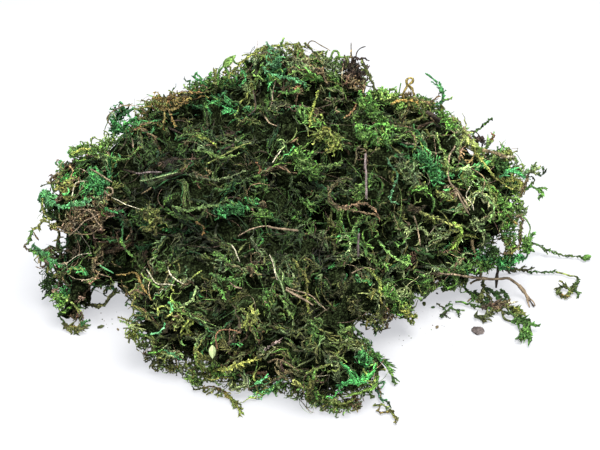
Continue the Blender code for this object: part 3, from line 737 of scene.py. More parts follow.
def toned(colours, dice, spread=0.13):
    # strands of one dye differ in depth and a little in hue
    count = len(colours)
    value = np.exp(dice.normal(0, spread, (count, 1)))
    hue = np.exp(dice.normal(0, 0.09, (count, 3)))
    return np.clip(colours * value * hue, 0.004, 0.8)


# Sowing strands over the skin
sowing = {
    "away": 0.38,           # the share that is sown on sides that face away from the camera
    "turn": 0.3,            # how soon a side counts as facing away
    "hollow": (2.0, 9.0),   # depths between which hollows fill up
    "overhang": -0.7,       # nothing grows on sides that face down more than this,
    "foot": 1.5,            # or lower than this
}


def sowOnSkin(count, dice, deep=0.0):
    # spots that show: not under the heap, fewer away from the camera, and more in hollows if deep
    area = np.linalg.norm(skin["cross"], axis=1) / 2
    middles = skin["points"][skin["triangles"]].mean(1)
    facing = skin["cross"] / (2 * area[:, None] + 1e-9)
    towards = dot(facing, towardsEye)[:, 0]
    wanted = area * mixed(sowing["away"], 1.0, smoothStep(towards, -sowing["turn"], sowing["turn"]))
    wanted = wanted * (1 + deep * smoothStep(skinDepths[skin["triangles"][:, 0]], *sowing["hollow"]))
    wanted[(facing[:, 2] < sowing["overhang"]) | (middles[:, 2] < sowing["foot"])] = 0
    chosen = dice.choice(len(area), count, p=wanted / wanted.sum())
    a, b = dice.uniform(size=(2, count, 1))
    flip = (a + b) > 1
    a, b = np.where(flip, 1 - a, a), np.where(flip, 1 - b, b)
    corners = skin["points"][skin["triangles"][chosen, 0]]
    return corners + skin["first"][chosen] * a + skin["second"][chosen] * b


def thinned(places, spacing):
    # indices of places that keep spacing from each other
    kept = []
    for index, place in enumerate(places):
        if not kept or ((places[kept] - place) ** 2).sum(1).min() > spacing ** 2:
            kept.append(index)
    return np.array(kept)


def turned(ways, normals, angles):
    return ways * np.cos(angles) + np.cross(normals, ways) * np.sin(angles)


def headings(places, normals, owners, dice, wander):
    # the way that each tuft's strands run, bent by a slow swirl and by chance, along the skin
    run = unit(np.array([tuft["run"] for tuft in tufts.values()]))[owners]
    ways = unit(run - dot(run, normals) * normals)
    swirl = (softNoise(places, 26.0, 11) * 3.4)[:, None]
    ways = turned(ways, normals, swirl + dice.normal(0, wander, (len(places), 1)))
    backwards = dice.uniform(size=(len(places), 1)) < 0.4
    return np.where(backwards, -ways, ways)


def growOnSkin(starts, ways, lengths, heights, turns, hug):
    # paths that follow the skin at their heights over it, less closely where hug falls off
    points = heights.shape[1]
    steps = (lengths / (points - 1))[:, None]
    spots, normals = nearestOn(skin, starts)
    here = spots + normals * heights[:, :1]
    paths, ups = [here], [normals]
    for index in range(1, points):
        ways = turned(ways, normals, turns[:, index:index + 1] * steps)
        ahead = here + unit(ways) * steps
        spots, normals = nearestOn(skin, ahead)
        wanted = spots + normals * heights[:, index:index + 1]
        ahead = mixed(ahead, wanted, hug[:, index:index + 1])
        ahead[:, 2] = np.maximum(ahead[:, 2], leastHeight["strand"])
        ways = unit(ahead - here)
        here = ahead
        paths.append(here)
        ups.append(normals)
    return np.stack(paths, 1), np.stack(ups, 1)


def frizzed(paths, size, width, dice):
    # a crimp along each strand, that grows from its root
    count, points = paths.shape[:2]
    _, sides, ups = sideDirections(paths, dice)
    length = np.linalg.norm(np.diff(paths, axis=1), axis=-1).sum(1)[:, None]
    share = np.linspace(0, 1, points)[None]
    phase = dice.uniform(0, math.tau, (count, 2, 1))
    rate = math.tau * length / (np.reshape(width, (-1, 1)) * dice.uniform(0.7, 1.4, (count, 1)))
    swing = np.reshape(size, (-1, 1)) * smoothStep(share, 0, 0.3)
    return (paths + sides * (swing * np.sin(rate * share + phase[:, 0]))[..., None]
            + ups * (swing * np.cos(rate * 0.83 * share + phase[:, 1]))[..., None])


bundleLook = {
    "seed": 5,
    "spots": 6000,          # tried
    "spacing": 8.2,
    "length": (16.0, 38.0),
    "radius": (1.2, 3.4),
    "rise": (-3.6, 0.8),    # over the skin, at the middle of a bundle
    "tips": (-4.0, 1.6),
    "root": -5.0,
    "bend": (0.07, 0.09),   # of a whole bundle and of each stretch, in radians a millimetre
    "wander": 0.9,
    "ropePoints": 12,
    "strands": 7,
    "points": 10,
    "span": (0.38, 0.75),   # the share of its bundle that a strand runs along
    "splay": 1.5,
    "spin": 1.4,
    "crimp": (0.3, 1.0),
    "crimpWidth": 4.2,
    "bundleDye": 0.6,       # the share of strands that take their bundle's dye
}


def growBundles(look):
    # bundles: strands that run together, with dark gaps between one bundle and the next
    dice = np.random.default_rng(look["seed"])
    places = sowOnSkin(look["spots"], dice)
    places = places[thinned(places, look["spacing"])]
    owners = ownersOf(places)
    _, normals = nearestOn(skin, places)
    count, points = len(places), look["ropePoints"]
    share = np.linspace(0, 1, points)[None]
    lengths = dice.uniform(*look["length"], count)
    rise = dice.uniform(*look["rise"], (count, 1))
    tips = dice.uniform(*look["tips"], (count, 1))
    heights = mixed(look["root"], rise, smoothStep(share, 0, 0.3))
    heights = heights + (tips - rise) * smoothStep(share, 0.6, 1.0)
    turns = dice.normal(0, look["bend"][0], (count, 1)) + dice.normal(0, look["bend"][1], (count, points))
    hug = mixed(0.85, 0.6, smoothStep(share, 0.6, 1)) * np.ones((count, 1))
    ways = headings(places, normals, owners, dice, look["wander"])
    starts = places - ways * lengths[:, None] * 0.5
    ropes, ups = growOnSkin(starts, ways, lengths, heights, turns, hug)
    return {"ropes": ropes, "ups": ups, "owners": owners, "radius": dice.uniform(*look["radius"], count),
            "colours": pickDyes(ropes[:, points // 2], owners, dice)}


def bundleStrands(bundles, look):
    dice = np.random.default_rng(look["seed"] + 1)
    count, each, points = len(bundles["ropes"]), look["strands"], look["points"]
    rope = np.repeat(np.arange(count), each)
    total = len(rope)
    span = dice.uniform(*look["span"], total)
    start = dice.uniform(-0.05, 1.0, total) * (1 - span)
    share = np.linspace(0, 1, points)[None]
    shares = start[:, None] + span[:, None] * share
    ropes = bundles["ropes"][rope]
    centres = along(ropes, shares)
    ways = unit(along(ropes, shares + 0.04) - along(ropes, shares - 0.04))
    ups = unit(along(bundles["ups"][rope], shares))
    sides = unit(np.cross(ways, ups))
    ups = np.cross(sides, ways)
    wide = bundles["radius"][rope] * np.sqrt(dice.uniform(0.05, 1, total))
    splay = dice.uniform(0.0, look["splay"], total)
    reach = wide[:, None] * (0.5 + splay[:, None] * share ** 2)
    angle = dice.uniform(0, math.tau, total)[:, None] + dice.normal(0, look["spin"], (total, 1)) * share
    paths = centres + (sides * np.cos(angle)[..., None] + ups * np.sin(angle)[..., None]) * reach[..., None]
    paths = frizzed(paths, dice.uniform(*look["crimp"], total), look["crimpWidth"], dice)
    colours = np.where(dice.uniform(size=(total, 1)) < look["bundleDye"], bundles["colours"][rope],
                       pickDyes(paths[:, 4], bundles["owners"][rope], dice))
    return {"paths": paths, "colours": colours, "owners": bundles["owners"][rope]}


underLook = {"seed": 9, "count": 1660, "length": (6.0, 15.0), "height": (-5.0, -1.0), "points": 7,
             "curl": 0.12, "lift": 0.0, "wander": 1.6, "deep": 2.5}
curlLook = {"seed": 13, "count": 750, "length": (6.0, 15.0), "height": (-1.2, 1.6), "points": 9,
            "curl": 0.24, "lift": 1.6, "wander": 1.6, "deep": 0.0}
curlFrizz = (0.7, 6.0)      # how far a curl's crimp swings, and its width
hairLook = {"seed": 17, "count": 450, "length": (12.0, 30.0), "height": (-0.5, 2.0), "points": 8,
            "curl": 0.07, "lift": 2.5, "wander": 1.4, "deep": 0.0}
featherLook = {"seed": 19, "count": 165, "length": (8.0, 16.0), "height": (-1.2, 1.0), "points": 7,
               "curl": 0.10, "lift": 0.6, "wander": 1.4, "deep": 0.0}


def growSingles(look):
    # single strands, each on its own way
    dice = np.random.default_rng(look["seed"])
    count, points = look["count"], look["points"]
    places = sowOnSkin(count, dice, look["deep"])
    owners = ownersOf(places)
    _, normals = nearestOn(skin, places)
    share = np.linspace(0, 1, points)[None]
    rise = dice.uniform(*look["height"], (count, 1))
    lift = look["lift"] * dice.uniform(0, 1, (count, 1))
    heights = mixed(rise - 3.0, rise, smoothStep(share, 0, 0.35)) + lift * share ** 2
    turns = dice.normal(0, look["curl"], (count, 1)) + dice.normal(0, look["curl"] * 0.6, (count, points))
    hug = mixed(0.75, 0.35, share) * np.ones((count, 1))
    lengths = dice.uniform(*look["length"], count)
    ways = headings(places, normals, owners, dice, look["wander"])
    paths, ups = growOnSkin(places, ways, lengths, heights, turns, hug)
    return {"paths": paths, "colours": pickDyes(places, owners, dice), "owners": owners,
            "ups": ups[:, points // 2]}


# Stems and strays keep their own CAD nodes' places

def nodePoints(name):
    places, _ = meshArrays(nodes[name].data)
    return np.unique(places.round(3), axis=0)


stemFit = {"spacing": 1.5, "reach": 3.0, "rounds": 3}


def routeInNode(name, route):
    # the route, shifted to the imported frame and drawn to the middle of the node's own solid
    points = curveThrough(np.array(route, float) + heapShift, stemFit["spacing"])
    corners = nodePoints(name)
    for _ in range(stemFit["rounds"]):
        gaps = np.linalg.norm(points[:, None] - corners[None], axis=-1)
        weights = np.exp(-(gaps / stemFit["reach"]) ** 2) + 1e-12
        points = (weights[..., None] * corners[None]).sum(1) / weights.sum(1, keepdims=True)
    return curveThrough(points, stemFit["spacing"])


# Strands are darker towards their roots, and darkened towards the inside of the heap as painted shade
shadeLook = {
    # how dark the painted shade is where a strand lies wholly inside
    "inside": 0.30,
    "heights": (-9.0, 0.6),     # from wholly inside to wholly outside
    "root": 0.75,
    "tip": (0.3, 0.45),         # at least, and up to this much more
    "warm": 0.18,               # how much redder tips can be
    "darkest": 0.002,
}


def heightsOver(surface, paths):
    spots, normals = nearestOn(surface, paths)
    return dot(paths - spots, normals)[..., 0]


def strandShades(paths, colours, dice):
    # each strand's colours from root to tip
    count, points = paths.shape[:2]
    share = np.linspace(0, 1, points)[None]
    sample = heightsOver(smoothSkin, paths[:, ::3])
    heights = along(sample[..., None], np.repeat(share, count, 0))[..., 0]
    # painted shade: strands that lie deep under the skin's surface are darkened
    inside = shadeLook["inside"]
    depth = inside + (1 - inside) * smoothStep(heights, *shadeLook["heights"])
    least, more = shadeLook["tip"]
    light = shadeLook["root"] + (least + more * dice.uniform(0, 1, (count, 1))) * share
    light = light * paintedAreaShade(paths[:, points // 2])[:, None]
    warm = np.ones((count, points, 3))
    warm[..., 0] += shadeLook["warm"] * share * dice.uniform(0, 1, (count, 1))
    return np.clip(colours[:, None] * (light * depth)[..., None] * warm, shadeLook["darkest"], lightest)


def taper(radii, points):
    # a little thinner at the root and much thinner at the tip
    share = np.linspace(0, 1, points)[None]
    shape = np.minimum(1.0, np.minimum(0.8 + share * 2, 0.3 + (1 - share) * 2.6))
    return np.reshape(radii, (-1, 1)) * shape


def addKind(tangle, kind, paths, colours, dice, size=None, shades=None):
    look = strandKinds[kind]
    count, points = paths.shape[:2]
    if count == 0:
        return
    scale = dice.uniform(0.7, 1.4, count) if size is None else np.ones(count) * size
    if shades is None:
        shades = strandShades(paths, colours, dice)
    leaf = None
    if "out" in look:
        leaf = {"out": look["out"], "ahead": look["ahead"], "size": scale}
    addStrands(tangle, paths, taper(look["core"] * scale, points), shades, dice, leaf, look.get("knots", 0.0))


branchShape = (0.9, 1.2, 0.95, 0.25)        # a branchlet's radii and tones from root to tip
branchTones = (0.7, 1.0, 1.2, 1.4)


def addFeathers(tangle, stems, flats, colours, look, dice):
    # stems with branchlets in pairs; flats are the normals of the planes that the branchlets lie in
    if len(stems) == 0:
        return
    count = len(stems)
    shades = strandShades(stems, colours, dice)
    addStrands(tangle, stems, taper(np.full(count, look["stem"]), stems.shape[1]), shades, dice)
    pairs = look["pairs"]
    shares = np.tile(np.linspace(0.06, 0.97, pairs), (count, 1))
    shares = np.clip(shares + dice.uniform(-0.02, 0.02, shares.shape), 0, 1)
    roots = along(stems, shares)
    ways = unit(along(stems, shares + 0.03) - along(stems, shares - 0.03))
    lateral = unit(np.cross(flats[:, None], ways))
    swell = np.sin(math.pi * (0.18 + 0.74 * shares ** 0.85)) * dice.uniform(0.75, 1.15, shares.shape)
    steps = np.linspace(0, 1, 4)[None, None, :, None]
    lean = math.radians(look["lean"])
    tone = along(shades, shares)
    for side in look["sides"]:
        length = (swell * look["length"] * dice.uniform(0.7, 1.1, swell.shape))[..., None, None]
        out = (ways * math.cos(lean) + lateral * side * math.sin(lean))[:, :, None]
        droop = flats[:, None, None] * dice.uniform(-0.45, 0.15, (count, pairs, 1, 1))
        bend = ways[:, :, None] * 0.4 * steps ** 2
        paths = roots[:, :, None] + length * (out * steps + bend + droop * steps ** 2)
        paths = paths.reshape(-1, 4, 3)
        radii = np.array(branchShape) * look["branch"] * np.ones((len(paths), 1))
        shade = np.repeat(tone.reshape(-1, 1, 3), 4, 1) * np.array(branchTones)[None, :, None]
        addStrands(tangle, paths, radii, shade * dice.uniform(0.7, 1.3, (len(paths), 1, 1)), dice)


mossFeather = {"stem": 0.34, "pairs": 7, "lean": 42, "sides": (-1, 1), "length": 3.6, "branch": 0.42}


cordLook = {
    "spacing": 1.15,
    "wobble": 0.5,          # of its radius
    "worn": 0.6,
    "apart": 2.6,           # between the strands that leave it
    "length": (1.2, 2.8),   # of those, in radii
    "toned": 0.25,
}


def layCord(tangle, points, radius, dye, dice, fullness=1.0, depth=1.0):
    # a leafy cord: a strand all along, and short ones that leave it
    core = curveThrough(points, cordLook["spacing"])
    sway = np.stack([softNoise(core, 2.6, shift) for shift in (21, 22, 23)], 1)
    core = core + sway * radius * cordLook["wobble"]
    # a depth below one darkens the dyes, as painted shade on strays
    colour = toned(np.array([dyes[dye]]), dice, 0.1) * depth
    worn = np.exp(cordLook["worn"] * softNoise(core, 3.5, 24))[None, :, None]
    shades = strandShades(core[None], colour, dice) * worn
    addKind(tangle, "cord", core[None], colour, dice, size=radius * 1.1, shades=shades)
    count = max(2, int(lengthOf(core) / cordLook["apart"] * fullness))
    shares = np.sort(dice.uniform(0.0, 0.93, count))[:, None]
    start = along(core[None], shares.T)[0]
    way = unit(along(core[None], shares.T + 0.03)[0] - along(core[None], shares.T - 0.03)[0])
    out = unit(np.cross(way, dice.normal(size=(count, 3))))
    steps = np.linspace(0, 1, 5)[None, :, None]
    length = radius * dice.uniform(*cordLook["length"], (count, 1, 1))
    outward = out[:, None] * (0.75 * steps - 0.35 * steps ** 2)
    paths = start[:, None] + length * (way[:, None] * steps + outward)
    colours = toned(np.tile(dyes[dye], (count, 1)), dice, cordLook["toned"]) * depth
    addKind(tangle, "cord", paths, colours, dice, size=radius * 0.6)


wireLook = {"spacing": 1.1, "knobs": 0.45, "tip": 0.55, "blotches": 0.5, "fibre": 0.3}


def layWire(tangle, points, radius, dye, dice, fibres, crook=0.4):
    # a bare stem: crooked, knobbly, with fibres that peel off it
    core = curveThrough(points, wireLook["spacing"])
    core = core + np.stack([softNoise(core, 6.0, shift) for shift in (31, 32, 33)], 1) * crook
    knobbly = 1 + wireLook["knobs"] * softNoise(core, 2.4, 35)
    shape = np.minimum(1.0, wireLook["tip"] + np.linspace(1, 0, len(core)) * 3)
    tone = np.exp(wireLook["blotches"] * softNoise(core, 3.0, 36))[:, None] * np.array(dyes[dye])
    addStrands(tangle, core[None], (radius * knobbly * shape)[None], tone[None], dice, corners=6, twist=0.2)
    if fibres and len(core) > 5:
        for _ in range(fibres):
            start = dice.integers(0, len(core) - 4)
            stop = min(len(core), start + dice.integers(4, 9))
            reach = np.linspace(0.8, 1.9, stop - start)[:, None]
            fibre = core[start:stop] + unit(dice.normal(size=3)) * radius * reach
            light = tone[start:stop] * dice.uniform(0.8, 1.5)
            radii = np.full((1, len(fibre)), radius * wireLook["fibre"])
            addStrands(tangle, fibre[None], radii, light[None], dice)


def addPebble(tangle, centre, size, dye, dice, roughness, detail=3, turn=None):
    # a lumpy grain, size being its half lengths
    build = bmesh.new()
    bmesh.ops.create_icosphere(build, subdivisions=detail, radius=1.0)
    places = np.array([corner.co[:] for corner in build.verts])
    faces = np.array([[corner.index for corner in face.verts] for face in build.faces])
    build.free()
    lumps = 1 + roughness * softNoise(places + dice.uniform(0, 50, 3), 0.7)[:, None]
    places = places * lumps * np.array(size)
    if turn is not None:
        places = places @ turn.T
    tone = np.exp(0.7 * softNoise(places, max(size) * 0.4, 41))[:, None] * np.array(dyes[dye])
    addToTangle(tangle, places + centre, faces, tone, False)


def kindOf(ending):
    return ending[0] if ending else "cord"


# Wisps that stand off each tuft: the dye, the radius in millimetres, the pixel of the root on the heap
# and the line of places. A strand is a leafy cord unless its row ends with another kind
wisps = {
    "crownMoss": [
        ("olive", 0.55, (300, 60), "303,56 301,46 298,44 290,44.5 283,45.5 275,46 268,47 262,49 256,53 "
         "250,57 243,61 236,68 228,76"),
        ("leafGreen", 0.8, (284, 60), "282,47 281,42 284,38"),
        ("mint", 0.6, (272, 60), "273,50 269,45 266,42"),
        ("brown", 0.35, (272, 60), "272,60 269,53 262,53.5 257,54"),
        ("olive", 0.4, (288, 60), "288,58 286,54 287,50 285,46"),
        ("brown", 0.22, (308, 60), "308,48 309,42 312,40 316,41 321,45 330,51", "hair"),
        ("leafGreen", 0.4, (325, 62), "325,60 326,56 327,50"),
        ("darkOlive", 0.45, (318, 62), "320,60 317,54 312,51 309,47 305,43"),
        ("leafGreen", 0.55, (332, 64), "330,60 332,54 334,51 337,51 339,54 340,60", "wire"),
        ("leafGreen", 0.5, (336, 64), "336,62 337,57 343,57 350,57 353,58", "wire"),
        ("darkOlive", 0.6, (346, 72), "346,68 347,62 344,57"),
        ("brown", 0.22, (352, 72), "352,62 351.5,53 351.5,43", "hair"),
        ("ochre", 0.3, (352, 72), "351,58 351,53 351,49"),
        ("darkBrown", 0.25, (355, 74), "355,62 357,53 360,49 366,46.5", "hair"),
        ("darkBrown", 0.6, (355, 74), "353,64 354,57 358,59 364,58 369,61"),
        ("darkBrown", 0.6, (358, 78), "360,76 366,71 367,68 364,64 363,58"),
        ("darkOlive", 0.8, (370, 92), "377,92 373,84 370,77 367,71 364,66 361,62"),
    ],
    "shoulderMoss": [
        ("leafGreen", 1.6, (220, 88), "223,67 236,55", "leaf"),
        ("midGreen", 0.6, (220, 88), "217.5,86 217.5,78 219,72 223,67", "wire"),
        ("midGreen", 0.55, (220, 88), "230,84 228.5,75 227,71 224,67", "wire"),
        ("olive", 0.8, (216, 90), "216,88 215,76 217,68"),
        ("blueGreen", 0.7, (206, 90), "208,86 200,81 195,79 194,76 197,74 201,77"),
        ("olive", 0.55, (160, 112), "166,104 153,101 148,103 144,107 139,109 133,112"),
        ("brown", 0.2, (160, 112), "150,104 146,102 149,99 152,101", "hair"),
        ("greyGreen", 0.25, (122, 130), "116,120 112,113 108,121 105,130", "hair"),
        ("tan", 0.15, (130, 122), "122,112 120,105 130,106 143,107", "hair"),
    ],
    "upperRightMoss": [
        ("ochre", 0.6, (408, 104), "403,98 404,92 407,86 406.5,80.5 409,78 413,78.5 412.5,82 408.5,85 "
         "411.5,88.5 414.5,96", "wire"),
        ("blueGreen", 0.85, (432, 112), "435,106 441,101 443.5,96 443,92 440,88 437,84"),
        ("mint", 0.8, (432, 112), "443,93 440,88 436,84"),
        ("blueGreen", 0.45, (432, 112), "437,83 433,80 430.5,78 425.5,72.5", "hair"),
        ("leafGreen", 0.65, (432, 112), "441,100 447,99 452.5,97"),
        ("brown", 0.5, (428, 110), "420,99 424,101.5 430,102 434,99.5 437,97 439.5,93.5"),
        ("darkOlive", 0.6, (434, 114), "440,104 442,108 442,113 440,118"),
        ("darkBrown", 1, (428, 118), "426,112 433,116 440,121 447,125 454,129", "wire"),
        ("darkOlive", 0.8, (428, 118), "438,119 444,120 449,123"),
        ("midGreen", 0.6, (384, 98), "370,98 376,93 383,90 388,93"),
        ("midGreen", 0.6, (392, 98), "388,94 391,90 395,89 397,96"),
    ],
    "rightMoss": [
        ("olive", 1.7, (470, 150), "462,128 466,134 472,142 480,150"),
        ("tan", 0.5, (470, 150), "463,127 472,140 482,152 490,163 500,176 510,188", "wire"),
        ("darkBrown", 0.3, (472, 146), "468,134 471,131 476,133 480,137 483,141", "hair"),
        ("leafGreen", 1.2, (484, 158), "482,152 486,146 490,140"),
        ("rust", 0.6, (484, 158), "490,140 494,136 491,134"),
        ("brown", 0.8, (486, 160), "482,150 492,152 500,155 508,157.5", "wire"),
        ("straw", 0.5, (486, 160), "500,157.5 509,157 516,156.5", "wire"),
        ("blueGreen", 0.9, (502, 182), "500,178 508,172 514,170 520,175 527,177"),
        ("greyGreen", 1.3, (502, 182), "524,176 528,171 533,168 540,170"),
        ("deepGreen", 0.75, (502, 182), "534,172 541,175 543.5,172 543.5,167"),
        ("brown", 0.9, (502, 182), "529,173 526,182 524,190 520,198"),
        ("darkOlive", 0.6, (502, 182), "531,176 534,181 531,184"),
        ("midGreen", 1, (502, 182), "524,190 531,187 537,188.5 541,192 538.5,199"),
        ("olive", 0.8, (502, 182), "506,182 513,178 519,181 524,186"),
        ("olive", 0.6, (502, 182), "508,188 516,186 522,183"),
        ("brown", 0.7, (504, 212), "504,212 510,215 516,216 521,217 523,221 521,228 520,236 519,245 514,251 "
         "507,254 498,254"),
        ("olive", 0.9, (504, 212), "521,221 521,230 520,238"),
        ("ochre", 0.6, (504, 212), "507,214 514,222 518,225", "wire"),
        ("leafGreen", 0.35, (504, 212), "521,215 526,218 529,223 530,229 528,240", "hair"),
        ("blueGreen", 0.45, (504, 212), "503,234 513,234 519,234"),
        ("midGreen", 0.7, (504, 212), "502,232 506,242 509,248 514,241 518,236"),
        ("blueGreen", 0.6, (504, 212), "528,248 527,256 522,260 515,262"),
        ("darkBrown", 0.8, None, "499,258,18 498,270,11.5 497,277,7 496,288,0.8", "wire"),
        ("brown", 0.7, (474, 250), "472,240 474,250 478,262 481,270 481,276", "wire"),
    ],
    "leftMoss": [
        ("olive", 0.55, (52, 212), "43,198 42,208 46,215 50,220"),
        ("olive", 0.85, (54, 222), "50,223 43,220 39,226 33,230"),
        ("midGreen", 0.75, (54, 222), "33,230 30,238 27,245"),
        ("brown", 0.5, (54, 222), "28,243 24.5,245 27,249 31,251"),
        ("blueGreen", 1.2, (54, 222), "31,245 36,249 43,254 49,259 56,264"),
        ("midGreen", 0.9, (54, 222), "29,249 36,254 40,257 47,258"),
        ("brown", 0.35, (54, 222), "34,232 38,238 40,240 37,236", "hair"),
        ("midGreen", 0.9, None, "64,292,8 56,294,5 50,293,4 46,297,3"),
        ("darkOlive", 0.9, None, "80,302,4 88,304,2.4 96,306,1.6 104,306,1.6"),
        ("darkOlive", 0.6, None, "103,306,1.6 108,301,3 113,293,6 117,288,8", "hair"),
        ("olive", 0.6, None, "108,300,3 114,294,5 120,290,7"),
    ],
    "frontMoss": [
        ("olive", 0.6, None, "138,324,6 128,321,3 118,317,2"),
        ("leafGreen", 0.6, None, "140,338,4 134,335,2 128,332,1.4"),
        ("darkOlive", 0.5, None, "350,337,6 358,334,3 364,334,2"),
    ],
    "centreMoss": [
        ("blueGreen", 0.6, None, "362,322,6 372,323,5 377,329,3 375,336,1.2"),
        ("midGreen", 0.6, None, "360,324,8 366,325,6 373,326,3 376,335,1.2"),
        ("darkOlive", 0.6, None, "376,322,5 380,329,3 386,328,3 388,320,5"),
    ],
}

# Fuller places of each tuft, of short strands close together: the dye, the radius, how many and
# their line of places
frontLeft = "140,346,5 152,358,4 166,367,4 186,372,4 206,376,4 "
frontRight = "226,378,4 244,383,3 264,388,3 284,389,3 304,396,3 322,402,4 340,408,4 354,403,4"
innerEdge = ("150,340,9 162,350,8 180,357,8 202,362,8 224,366,8 246,371,7 268,377,7 290,380,7 310,386,7 "
             "328,391,7 342,393,8 352,387,9")
fringes = {
    "crownMoss": [
        ("darkBrown", 4.2, 130, "350,66 354,72 362,77"),
        ("mint", 2.6, 40, "272,56 277,60 279,66"),
        ("greyGreen", 3, 40, "290,62 300,66 306,72"),
        ("brown", 2.6, 40, "345,76 354,82 363,86"),
        ("olive", 2.6, 50, "258,60 272,53 288,50 302,54"),
        ("greyGreen", 2.2, 30, "316,58 330,62 342,68"),
    ],
    "shoulderMoss": [
        ("blueGreen", 3.8, 100, "114,133 116,122 119,113 126,110"),
        ("ochre", 3, 70, "154,104 163,100 176,98 186,100"),
        ("midGreen", 2.6, 45, "150,145 151,152 150,160"),
        ("midGreen", 2.6, 40, "196,86 210,80 222,82"),
    ],
    "leftMoss": [
        ("midGreen", 3, 50, "54,296 60,302 68,308"),
        ("leafGreen", 2.2, 40, "74,154 84,149 92,148"),
        ("blueGreen", 3.2, 70, "88,186 98,180 104,190"),
        ("mint", 2, 40, "42,196 47,196 52,203"),
        ("olive", 2, 30, "60,191 65,187 71,184"),
        ("greyGreen", 1.6, 20, "98,202 102,204"),
        ("leafGreen", 2.6, 50, "96,150 106,144 112,136"),
        ("deepGreen", 2.6, 45, "48,272 46,284 52,292"),
        ("olive", 3.2, 60, "141,213 150,213 155,222 150,231"),
        ("brown", 4.2, 90, "66,228 76,216 90,212 100,220 92,232"),
        ("tan", 3.6, 14, "66,228 76,216 90,212 100,220 92,232"),
    ],
    "rightMoss": [
        ("darkBrown", 1.6, 20, "476,138 483,142"),
        ("deepGreen", 3.2, 50, "498,160 502,167"),
        ("brightGreen", 2.2, 40, "526,241 528,246 526,251"),
        ("blueGreen", 2.6, 60, "503,263 511,260 520,256"),
        ("leafGreen", 2.6, 40, "514,200 520,206 516,212"),
        ("blueGreen", 4, 90, "418,156 426,163 434,172 440,181"),
        ("greyGreen", 3.4, 60, "402,164 410,172 416,182"),
        ("midGreen", 3.2, 60, "500,198 507,214 509,232"),
        ("olive", 3, 50, "506,240 511,250 507,262"),
        ("deepGreen", 3.6, 80, "482,240 490,248 493,259 484,266"),
        ("blueGreen", 3.2, 50, "470,252 482,257 496,262 508,264"),
        ("midGreen", 3.2, 50, "458,268 470,267 484,265 498,265"),
    ],
    "upperRightMoss": [
        ("olive", 3, 50, "402,100 414,103 430,108"),
        ("midGreen", 3, 50, "424,102 434,106 440,114"),
        ("midGreen", 4, 80, "362,100 374,112 384,124"),
        ("leafGreen", 3.2, 60, "376,94 390,98 402,106"),
        ("brightGreen", 3.2, 50, "352,128 364,134 378,138"),
        ("midGreen", 2.6, 40, "436,112 448,122 458,132"),
    ],
    "centreMoss": [
        ("yellowGreen", 2.6, 40, "402,308 408,315 413,320"),
        ("blueGreen", 3.4, 60, "360,282 363,296 370,308"),
        ("olive", 3.4, 70, "350,312 360,317 370,319 380,321"),
        ("brown", 3, 40, "372,300 382,310 391,322"),
        ("midGreen", 3.2, 50, "384,290 394,300 400,312"),
        ("darkOlive", 3.6, 60, "342,288 350,300 356,310"),
        ("midGreen", 3.8, 80, "294,152 304,162 316,176"),
        ("yellowGreen", 3.2, 60, "316,134 326,132 333,140 331,150"),
    ],
    "frontMoss": [
        ("leafGreen", 2.2, 40, "191,376,3 196,381,2.5 200,382,2"),
        ("mint", 1.4, 16, "257,391,2 262,387,3"),
        ("brown", 1.8, 24, "351,402,4 357,401,3 354,406,3"),
        ("midGreen", 4, 110, "346,368,10 352,376,8 356,384,5"),
        ("blueGreen", 3.6, 70, "348,340,12 357,346,9 366,352,6"),
        ("olive", 3.4, 110, frontLeft + frontRight),
        ("darkOlive", 3.8, 90, frontLeft + frontRight),
        ("greyGreen", 3.2, 80, frontLeft + frontRight),
        ("midGreen", 3.2, 40, frontRight),
        ("darkOlive", 4.4, 110, innerEdge),
        ("olive", 4.0, 90, innerEdge),
    ],
    "middleMoss": [
        ("blueGreen", 2.6, 50, "218,213 230,210 244,208"),
    ],
}


# Nothing but the pale floor stands behind a wisp, so it has to be a little fuller
wispGrowth = {"cord": 1.9, "wire": 1.8, "hair": 1.2, "leaf": 1.2}
wireShare = 0.62            # a wire without its fibres is this much thinner
fringePaintedShade = 0.85          # painted shade: a fringe's dyes are darkened a little


def placed(pixel, depth=None):
    if len(pixel) == 3:
        return onFloor(*pixel)
    return onSheet(*pixel, depth) if depth is not None else onHeap(*pixel)


def wispRoute(root, line):
    depth = onHeap(*root)[1] if root else None
    return np.array([placed(pixel, depth) for pixel in placesOf(line)])


wandering = {"start": (0.1, 0.8), "step": (0.7, 1.4), "steps": 6, "turn": 0.45, "pull": 0.35}


def wander(middles, radius, dice):
    # short strands that wander about their middles and turn back to them
    count = len(middles)
    away = dice.normal(size=(count, 3))
    here = middles + unit(away) * radius * dice.uniform(*wandering["start"], (count, 1))
    way = unit(dice.normal(size=(count, 3)))
    step = dice.uniform(*wandering["step"], (count, 1))
    paths = [here]
    for _ in range(wandering["steps"]):
        away = (here - middles) / radius
        pull = wandering["pull"] * away * np.linalg.norm(away, axis=1)[:, None]
        way = unit(way + dice.normal(0, wandering["turn"], (count, 3)) - pull)
        here = here + way * step
        here[:, 2] = np.maximum(here[:, 2], leastHeight["strand"])
        paths.append(here)
    return np.stack(paths, 1)


def growFringe(line, radius, count, dice):
    core = curveThrough([placed(pixel) for pixel in placesOf(line)], 1.0)
    middles = along(core[None], dice.uniform(0, 1, (1, count)))[0]
    return wander(middles, radius, dice)


clumpLook = {"seed": 23, "count": 125, "strands": 16, "radius": (2.0, 4.6), "sunk": 0.6}


